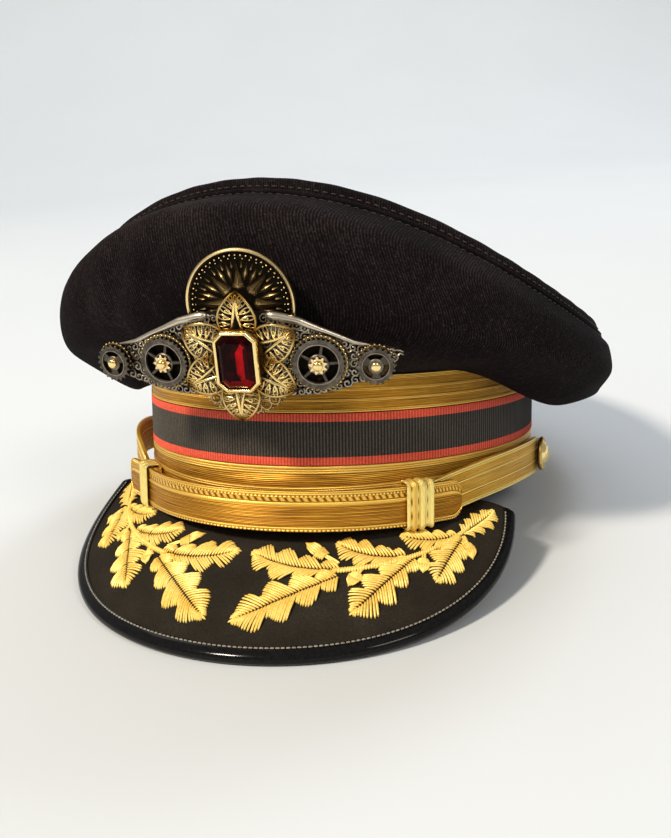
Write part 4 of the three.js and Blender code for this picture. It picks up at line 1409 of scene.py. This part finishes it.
def compass():
    """A plate with a fine rim and two rings of dots. Eight broad rays stand on it, each under a
    slim one, and between them are outlined diamonds and small points."""
    parts = [turned("compass_plate", COMPASS_PROFILE, 96)]
    for i in range(8):
        for name, *sizes, asides in COMPASS_RAYS:
            parts += [kite(name, *sizes, math.radians(45 * i + aside)) for aside in asides]
        for *sizes, asides in COMPASS_EDGES:
            parts += [ray_edges(*sizes, math.radians(45 * i + aside)) for aside in asides]
    for part in parts[1:]:
        part.data.transform(Matrix.Translation((0, 0, COMPASS_FACE)))
    parts.append(ring_of("compass_dots", 56, 17.2, 0.38, 1.2, 1.2))
    parts.append(ring_of("compass_dots", 40, 16.1, 0.3, 1.2, 1.2))
    seat = badge_seat(0, COMPASS_Y, LAYERS["disc"])
    metal("compass_plate", parts, (1.04, 1.7, 0.7), BRASS, "antique_brass", "compass_disc", seat)


WING_STATIONS = [
    # x, top, bottom
    (0, 15.5, -14), (8.5, 16.6, -14.5), (15, 15.4, -14.8), (22, 13.6, -14.8), (28.5, 10.6, -14.2),
    (35, 7.8, -13), (41, 5, -11), (47, 3.4, -9.4), (52, 2.6, -7.6), (55.6, 1.6, -3),
]
RIGHT_WING = 0.95  # the right wing's length against the left's
RIM_SPAN = {-1: (11, 50), 1: (9.5, 48)}  # from and to, along each wing
SCROLLS_FROM, SCROLL_COLUMNS, SCROLL_STEP, SCROLL_ROW = 9.0, 17, 2.7, 2.9
WING_BEADS = 46


def wing_edge(x, which):
    """The height of the wings' top edge (1) or bottom edge (2) at a place along them."""
    far = abs(x) / (RIGHT_WING if x > 0 else 1)
    for inner, outer in zip(WING_STATIONS, WING_STATIONS[1:]):
        if far <= outer[0]:
            share = (far - inner[0]) / (outer[0] - inner[0])
            return inner[which] + (outer[which] - inner[which]) * share
    return WING_STATIONS[-1][which]


def wing_rim(hand):
    """The smooth raised rim of one wing, thick and round by the flower and fine at its tip."""
    inner, outer = RIM_SPAN[hand]

    def place(u, v):
        x = inner + (outer - inner) * u
        here = wing_edge(x * hand, 1)
        ahead = Vector((0.5, wing_edge((x + 0.5) * hand, 1) - here, 0)).normalized()
        normal = Vector((-ahead.y, ahead.x, 0))
        size = (1.95 - 1.45 * u ** 0.8) * math.sqrt(max(0, 1 - (1 - min(1, 0.04 + u * 11)) ** 2))
        size *= min(1, (1 - u) * 14 + 0.2)
        turn = 2 * math.pi * v
        spot = Vector((x, here - 1.5 + 0.7 * u, 1.5))
        spot += normal * math.cos(turn) * size + Vector((0, 0, math.sin(turn) * size * 1.05))
        return Vector((spot.x * hand, spot.y, spot.z))

    return smooth(sheet_of("wing_rim", 60, 12, place, tube=True))


def scroll_column(hand, x, column):
    """Scrolls with their stalks, in one column from a wing's beads up to its rim."""
    top, bottom = wing_edge(x * hand, 1) - 3.0, wing_edge(x * hand, 2) + 1.6
    rows = max(1, int((top - bottom) / SCROLL_ROW))
    wires = []
    for row in range(rows + 1):
        y = bottom + (top - bottom) * row / rows
        size = random.uniform(1.35, 1.9)
        turn = random.uniform(0.2, 1.2) if hand > 0 else math.pi - random.uniform(0.2, 1.2)
        twist = 1 if (row + column) % 2 else -1
        points = curl(x * hand, y, size, turn, twist * hand, 1.5, 1.25)
        wires.append(wire("wing_scroll", points, random.uniform(0.34, 0.48), 6))
        stalk = [(x * hand + size * math.cos(turn), y + size * math.sin(turn), 1.5),
                 ((x + 2.2) * hand, y + 1.3, 1.6), ((x + 3.4) * hand, y + 0.6, 1.4)]
        wires.append(wire("wing_stalk", stalk, 0.32, 5))
    return wires


def wings():
    """The wings: a domed plate covered in scrolls, with a smooth raised rim."""

    def place(u, v):
        x = (u - 0.5) * 2 * WING_STATIONS[-1][0]
        x *= RIGHT_WING if x > 0 else 1
        top, bottom = wing_edge(x, 1) - 0.6, wing_edge(x, 2)
        dome = math.sin(math.pi * v) ** 0.5
        return Vector((x, bottom + (top - bottom) * v, 0.3 + 0.9 * dome))

    field = sheet_of("wing_field", 72, 14, place)
    modify(field, "SOLIDIFY", thickness=0.6, offset=-1)
    parts = [smooth(field)]
    for hand in (-1, 1):
        parts.append(wing_rim(hand))
        for column in range(SCROLL_COLUMNS):
            parts += scroll_column(hand, SCROLLS_FROM + SCROLL_STEP * column, column)
        for i in range(WING_BEADS):
            x = (3 + 50 * i / (WING_BEADS - 1)) * hand
            parts.append(bead("wing_bead", 0.6, (x, wing_edge(x, 2) + 0.35, 1.1)))
    piece = mark_wear_and_painted_light(smooth(join("wing_relief", parts), 60), 0.9, 2.7, 0.8)
    for vertex in piece.data.vertices:
        vertex.co = bent(*vertex.co)
    seat = BADGE @ Matrix.Translation((0, 0, LAYERS["plate"]))
    dress(piece, SILVER, "old_silver", "wing_plate", seat=seat)


def skirt():
    """A fan of pierced scallops below the flower, between a band and an arc of beads."""
    parts = []
    for radius, count, size in SCALLOPS:
        for i in range(count):
            angle = -166 + 152 * i / (count - 1)
            [(x, y, _)] = circle(radius, [angle], 0)
            loop = circle(size, range(0, 360, 30), 0.6, x, y)
            parts.append(wire("skirt_loop", loop, 0.34, 6, True))
            scroll = curl(x, y, size * 0.62, math.radians(angle), 1 if i % 2 else -1, 0.5)
            parts.append(wire("skirt_curl", scroll, 0.24, 5))
    for place in circle(19.6, SKIRT_ARC, 0.5):
        parts.append(bead("skirt_bead", 0.5, place))
    parts.append(wire("skirt_band", circle(11.4, SKIRT_ARC, 0.5), 0.5, 8))
    seat = badge_seat(0, SKIRT_Y, LAYERS["skirt"])
    fan = [smooth(join("scallop_filigree", parts), 60)]
    metal("scallop_filigree", fan, (0.3, 1.2), BRASS, "antique_brass", "scalloped_skirt", seat)


def toothed_ring(name, outer, root, inner, teeth, thick, bevel=0.12):
    """A toothed ring: a circle whose corners are drawn out into teeth, filled in to its bore."""
    clear_bench()
    bpy.ops.mesh.primitive_circle_add(vertices=teeth * 6, radius=outer)
    ring = named(name)
    reach = {0: outer, 1: outer, 2: (outer + root) / 2, 3: root, 4: root, 5: (outer + root) / 2}
    for i, vertex in enumerate(ring.data.vertices):
        vertex.co = vertex.co.normalized() * reach[i % 6]
    bpy.ops.object.mode_set(mode="EDIT")
    bpy.ops.mesh.select_all(action="SELECT")
    bpy.ops.mesh.extrude_region_move(TRANSFORM_OT_translate={"value": (0, 0, 0)})
    bpy.ops.object.mode_set(mode="OBJECT")
    for vertex in ring.data.vertices:
        if vertex.select:
            vertex.co = vertex.co.normalized() * inner
    modify(ring, "SOLIDIFY", thickness=thick, offset=0)
    ring.data.transform(Matrix.Translation((0, 0, thick / 2)))
    edit(ring, lambda: bpy.ops.mesh.normals_make_consistent(inside=False))
    corners = math.radians(50)
    modify(ring, "BEVEL", width=bevel, segments=1, limit_method="ANGLE", angle_limit=corners)
    return ring


def round_wire(name, radius, height, thick, count=60):
    """A ring of wire lying flat."""
    angles = [360 * i / count for i in range(count)]
    return wire(name, circle(radius, angles, height), thick, 6, True)


def spoke(name, start, end, wide, thick, turn, taper=0.75):
    """A spoke that narrows outwards, with eased edges."""
    clear_bench()
    bpy.ops.mesh.primitive_cube_add(size=1)
    arm = named(name)
    for vertex in arm.data.vertices:
        far = vertex.co.y > 0
        vertex.co.x *= wide * (taper if far else 1)
        vertex.co.y = end if far else start
        vertex.co.z = (vertex.co.z + 0.5) * thick
    modify(arm, "BEVEL", width=0.12, segments=2)
    arm.data.transform(Matrix.Rotation(-turn, 4, "Z"))
    return arm


# Where the gears sit: x of the large and of the small one on each side, and their y.
GEARS = {"left": (-28, -48.6), "right": (26.6, 45.4)}
LARGE_GEAR_Y, SMALL_BACK_Y, SMALL_GEAR_Y = -2.3, -3, -3.8
LARGE_DISC = [
    (10.0, 0), (10.3, 0.25), (10.3, 0.8), (9.9, 1.1), (9.2, 1.15), (8.9, 0.8), (4, 0.7), (0.5, 0.7),
]
LARGE_HUB = [(3.7, 0), (3.7, 1.1), (3.4, 1.4), (2.7, 1.4), (2.5, 1.1), (0.5, 1.1)]
SMALL_DISC = [(6.3, 0), (6.5, 0.3), (6.5, 0.8), (6.1, 1.1), (5.2, 1.1), (3, 0.9), (0.5, 0.9)]
SMALL_HUB = [(2.7, 0), (2.7, 1.15), (2.5, 1.3), (0.5, 1.3)]
RIVET = 1.75  # the radius of a rivet's head
RIVET_DOME = [(1, -1.2), (1, 0.45), (0.93, 0.75), (0.75, 1.0), (0.4, 1.2)]  # share of it, height


def large_gear(side, x):
    """A beaded brass wheel behind a five-spoked one, with a toothed pinion on its hub."""

    def seat(layer, above=0):
        return badge_seat(x, LARGE_GEAR_Y, LAYERS[layer] + above)

    # The back wheel's marks start above its disc, so the disc seen between the spokes is painted
    # dark as shade.
    back = [turned("wheel_disc", LARGE_DISC, 64), ring_of("wheel_beads", 40, 9.75, 0.42, 1.05)]
    metal(f"gear_back_large_{side}", back, (0.78, 1.45), BRASS, "antique_brass",
          f"gear_big_back_{side}", seat("back_gear"))
    front = [
        toothed_ring("wheel_teeth", 9.4, 8.75, 6.7, 34, 1.2),
        round_wire("wheel_rim", 7.1, 1.15, 0.34),
        round_wire("wheel_rim", 8.5, 1.1, 0.2),
        turned("wheel_hub", LARGE_HUB, 40),
    ]
    for i in range(5):
        front.append(spoke("wheel_spoke", 3.2, 7.0, 1.15, 1.15, math.radians(72 * i + 14)))
    metal(f"gear_large_{side}", front, (0.1, 2.0, 1.5), PEWTER, "old_silver",
          f"gear_big_{side}", seat("front_gear"))
    star = [toothed_ring("pinion_teeth", 3.3, 2.3, 0.6, 9, 1, 0.1)]
    metal(f"pinion_star_{side}", star, (0.0, 1.0), BRASS, "antique_brass",
          f"pinion_{side}", seat("pinion"))
    rivet(f"rivet_big_{side}", seat("pinion", 1.3))


def rivet(node, seat):
    """A domed rivet head on a short shank."""
    dome = [(RIVET * share, height) for share, height in RIVET_DOME]
    head = turned(node + "_head", dome + [(0.1, 1.25)], 28)
    metal(node + "_head", [head], (-1, 0.7), GILT, "gilt", node, seat)


def small_gear(side, x):
    """A dark toothed wheel with three round windows, before a beaded brass one."""
    # The marks start above the disc, so the disc seen through the windows is painted dark as shade.
    back = [turned("small_disc", SMALL_DISC, 48), ring_of("small_beads", 24, 6.35, 0.55, 0.75)]
    metal(f"gear_back_small_{side}", back, (0.85, 1.4), BRASS, "antique_brass",
          f"gear_small_back_{side}", badge_seat(x, SMALL_BACK_Y, LAYERS["back_gear"]))
    front = [
        toothed_ring("small_teeth", 6.9, 5.9, 4.4, 20, 1.2),
        turned("small_hub", SMALL_HUB, 32),
        round_wire("small_lip", 4.7, 1.15, 0.32, 48),
    ]
    for i in range(3):
        front.append(spoke("small_spoke", 2.2, 4.8, 2.3, 1.15, math.radians(120 * i + 60), 1.5))
    metal(f"gear_small_{side}_wheel", front, (0.1, 2.0, 1.5), PEWTER, "old_silver",
          f"gear_small_{side}", badge_seat(x, SMALL_GEAR_Y, LAYERS["front_gear"]))
    rivet(f"rivet_small_{side}", badge_seat(x, SMALL_GEAR_Y, LAYERS["front_gear"] + 1.5))


PETAL_LONG, PETAL_HALF, PETAL_DOME = 15.5, 7, 2.1
# Degrees clockwise from the top, and how far each root is from the middle.
PETAL_PLACES = [(2.6, 8.4), (64, 7.5), (120.5, 6.9), (183, 7.9), (243, 7.1), (299, 6.9)]
PETAL_DROPS = [
    # x, y, long, wide, lean
    (0.9, 11.8, 2.4, 0.75, 22), (1.0, 10.0, 3.5, 0.9, 44), (1.4, 8.2, 4.3, 1.0, 62),
    (1.9, 6.3, 4.5, 1.05, 80), (2.4, 4.3, 4.1, 1.0, 96), (2.8, 2.4, 3.0, 0.85, 112),
]
PETAL_RIB = [(0.3, 12), (0.7, 8), (1.6, 3.4), (2.6, 0.4)]
COLLAR = [(9.7, 0), (10.1, 0.3), (10.1, 0.8), (9.6, 1.1), (6, 1.1), (0.5, 1.0)]


def petal_side(share):
    """Half of the petal's width, from 0 at its root to 1 at its tip."""
    return PETAL_HALF * math.sin(math.pi * min(1, 0.22 + share * 0.78)) ** 0.8


def on_petal(x, y):
    """A place on the petal's dome."""
    arch = y / PETAL_LONG * 2 - 1
    fold = min(1, abs(x) / PETAL_HALF)
    return Vector((x, y, 0.5 + PETAL_DOME * max(0, 1 - arch * arch) * (1 - 0.55 * fold * fold)))


def drop(x, y, long, wide, turn, count=14):
    """A teardrop loop from its point at (x, y), leaning by turn degrees from straight up."""
    sine, cosine = math.sin(math.radians(turn)), math.cos(math.radians(turn))
    loop = []
    for i in range(count):
        t = 2 * math.pi * i / count
        up = long * (1 - math.cos(t)) / 2
        out = wide * math.sin(t) * math.sin(t / 2)
        loop.append((x + up * sine + out * cosine, y + up * cosine - out * sine))
    return loop


def petal():
    """One petal: an edge wire, a parted middle and leaf-shaped loops of wire between them."""
    side = [(petal_side(i / 14) * 0.97, i / 14 * PETAL_LONG) for i in range(15)]
    # Each line: its places, its radius, and whether it closes.
    lines = [(side + [(-x, y) for x, y in reversed(side[:-1])], 0.5, False)]
    for hand in (-1, 1):
        lines.append(([(hand * x, y) for x, y in PETAL_RIB], 0.5, False))
        for x, y, long, wide, lean in PETAL_DROPS:
            for grow, radius in ((1, 0.3), (0.5, 0.26)):
                loop = drop(x + 0.12 * long * (1 - grow), y, long * grow, wide * grow, lean)
                lines.append(([(px * hand, py) for px, py in loop], radius, True))
    lines.append((drop(0, 12, 2.4, 0.5, 0), 0.3, True))
    wires = [
        wire("petal_wire", [on_petal(x, y) for x, y in line], radius, 6, closed)
        for line, radius, closed in lines
    ]
    return smooth(join("petal_pattern", wires), 60)


def flower():
    """Six filigree petals round the stone, soldered to a collar."""
    pattern = petal()
    petals = []
    for turn, root in PETAL_PLACES:
        place = Matrix.Rotation(math.radians(-turn), 4, "Z") @ Matrix.Translation((0, root, 0))
        petals.append(copy_of(pattern, place))
    bpy.data.objects.remove(pattern)
    collar = turned("petal_collar", COLLAR, 8)
    turn = Matrix.Rotation(math.radians(22.5), 4, "Z")
    collar.data.transform(Matrix.Diagonal((0.94, 1.18, 1, 1)) @ turn)
    seat = badge_seat(0, 0, LAYERS["petals"])
    metal("filigree_petals", petals + [collar], (1.0, 2.7), GILT, "gilt", "petals", seat)


STONE_WIDE, STONE_HIGH, STONE_CUT = 6, 9.2, 2.3
PAINTED_STREAK_FROM, PAINTED_STREAK_TO = 0.3, 2.9  # the painted highlight streak's edges, right of the middle
STONE_FOOT = -6.5  # facets below this get some painted light
# Outset and height, from the foot outside over the top to the foot inside.
SETTING_SECTION = [
    (1.9, 0), (1.95, 1.6), (1.8, 2.4), (1.45, 3.0), (1.0, 3.25), (0.6, 3.1), (0.35, 2.6),
    (0.3, 1.9), (-0.3, 1.4), (-0.3, 0),
]
# Outset and height of each step of the stone, from its girdle to its table.
STONE_STEPS = [
    (-0.1, 1.6), (0, 2.1), (-0.7, 2.75), (-1.4, 3.2), (-2.1, 3.35), (-2.9, 3.22), (-3.8, 3.33),
    (-4.7, 3.25), (-5.6, 3.32),
]


def octagon(outset, height, ease):
    """The stone's outline grown outwards, at a height."""
    wide, high, cut = STONE_WIDE + outset, STONE_HIGH + outset, STONE_CUT + outset * ease
    return [
        Vector((x, y, height)) for x, y in (
            (-wide, -high + cut), (-wide + cut, -high), (wide - cut, -high), (wide, -high + cut),
            (wide, high - cut), (wide - cut, high), (-wide + cut, high), (-wide, high - cut),
        )
    ]


def eight_sided(name, levels, ease, closed=False):
    """A form of octagons, one for each (outset, height)."""
    rings = [octagon(outset, height, ease) for outset, height in levels]
    if closed:
        rings.append(rings[0])
    rows = len(rings) - 1

    def place(u, v):
        return rings[round(v * rows)][round(u * 8) % 8]

    return sheet_of(name, 8, rows, place, wrapped=True, tube=closed)


def setting():
    """The gilt frame, with eased corners and a step down to the stone."""
    rim = eight_sided("stone_setting", SETTING_SECTION, 0.5, closed=True)
    modify(rim, "BEVEL", width=0.18, segments=3, limit_method="ANGLE", angle_limit=math.radians(20))
    seat = badge_seat(0, 0, LAYERS["bezel"])
    metal("stone_setting", [smooth(rim, 40)], (0.8, 2.6), GILT, "gilt", "bezel", seat)


def painted_facet_glint(middle):
    """How bright a facet's painted glint is, by its place: most in a painted streak right of the
    middle.
    """
    if PAINTED_STREAK_FROM < middle.x < PAINTED_STREAK_TO:
        lit = 0.5
    elif middle.x > 0:
        lit = 0.1
    else:
        lit = 0.02
    foot = 0.3 if middle.y < STONE_FOOT else 0
    return max(0, min(1, lit * random.uniform(0.35, 1.15) + foot))


def stone():
    """A step-cut stone whose facets each get their own painted glint."""
    cut = eight_sided("stone_glass", STONE_STEPS, 0.4)
    edit(cut, lambda: bpy.ops.mesh.fill_holes(sides=0))
    modify(cut, "EDGE_SPLIT", split_angle=math.radians(0.5))
    marks = cut.data.attributes.new("worn", "FLOAT", "POINT")
    for polygon in cut.data.polygons:
        painted_glint = painted_facet_glint(polygon.center)
        for corner in polygon.vertices:
            marks.data[corner].value = painted_glint
    dress(cut, RUBY, "red_stone", "stone", seat=badge_seat(0, 0, LAYERS["bezel"] + 0.4))


def badge():
    """The badge, from its back to its front."""
    compass()
    wings()
    skirt()
    for side, (large_x, small_x) in GEARS.items():
        large_gear(side, large_x)
        small_gear(side, small_x)
    flower()
    setting()
    stone()


camera()
studio()
crown()
welt()
seam_stitches()
band()
peak()
strap_set()
binding()
edge_stitches()
oak_spray("left", -1)
oak_spray("right", 1)
badge()
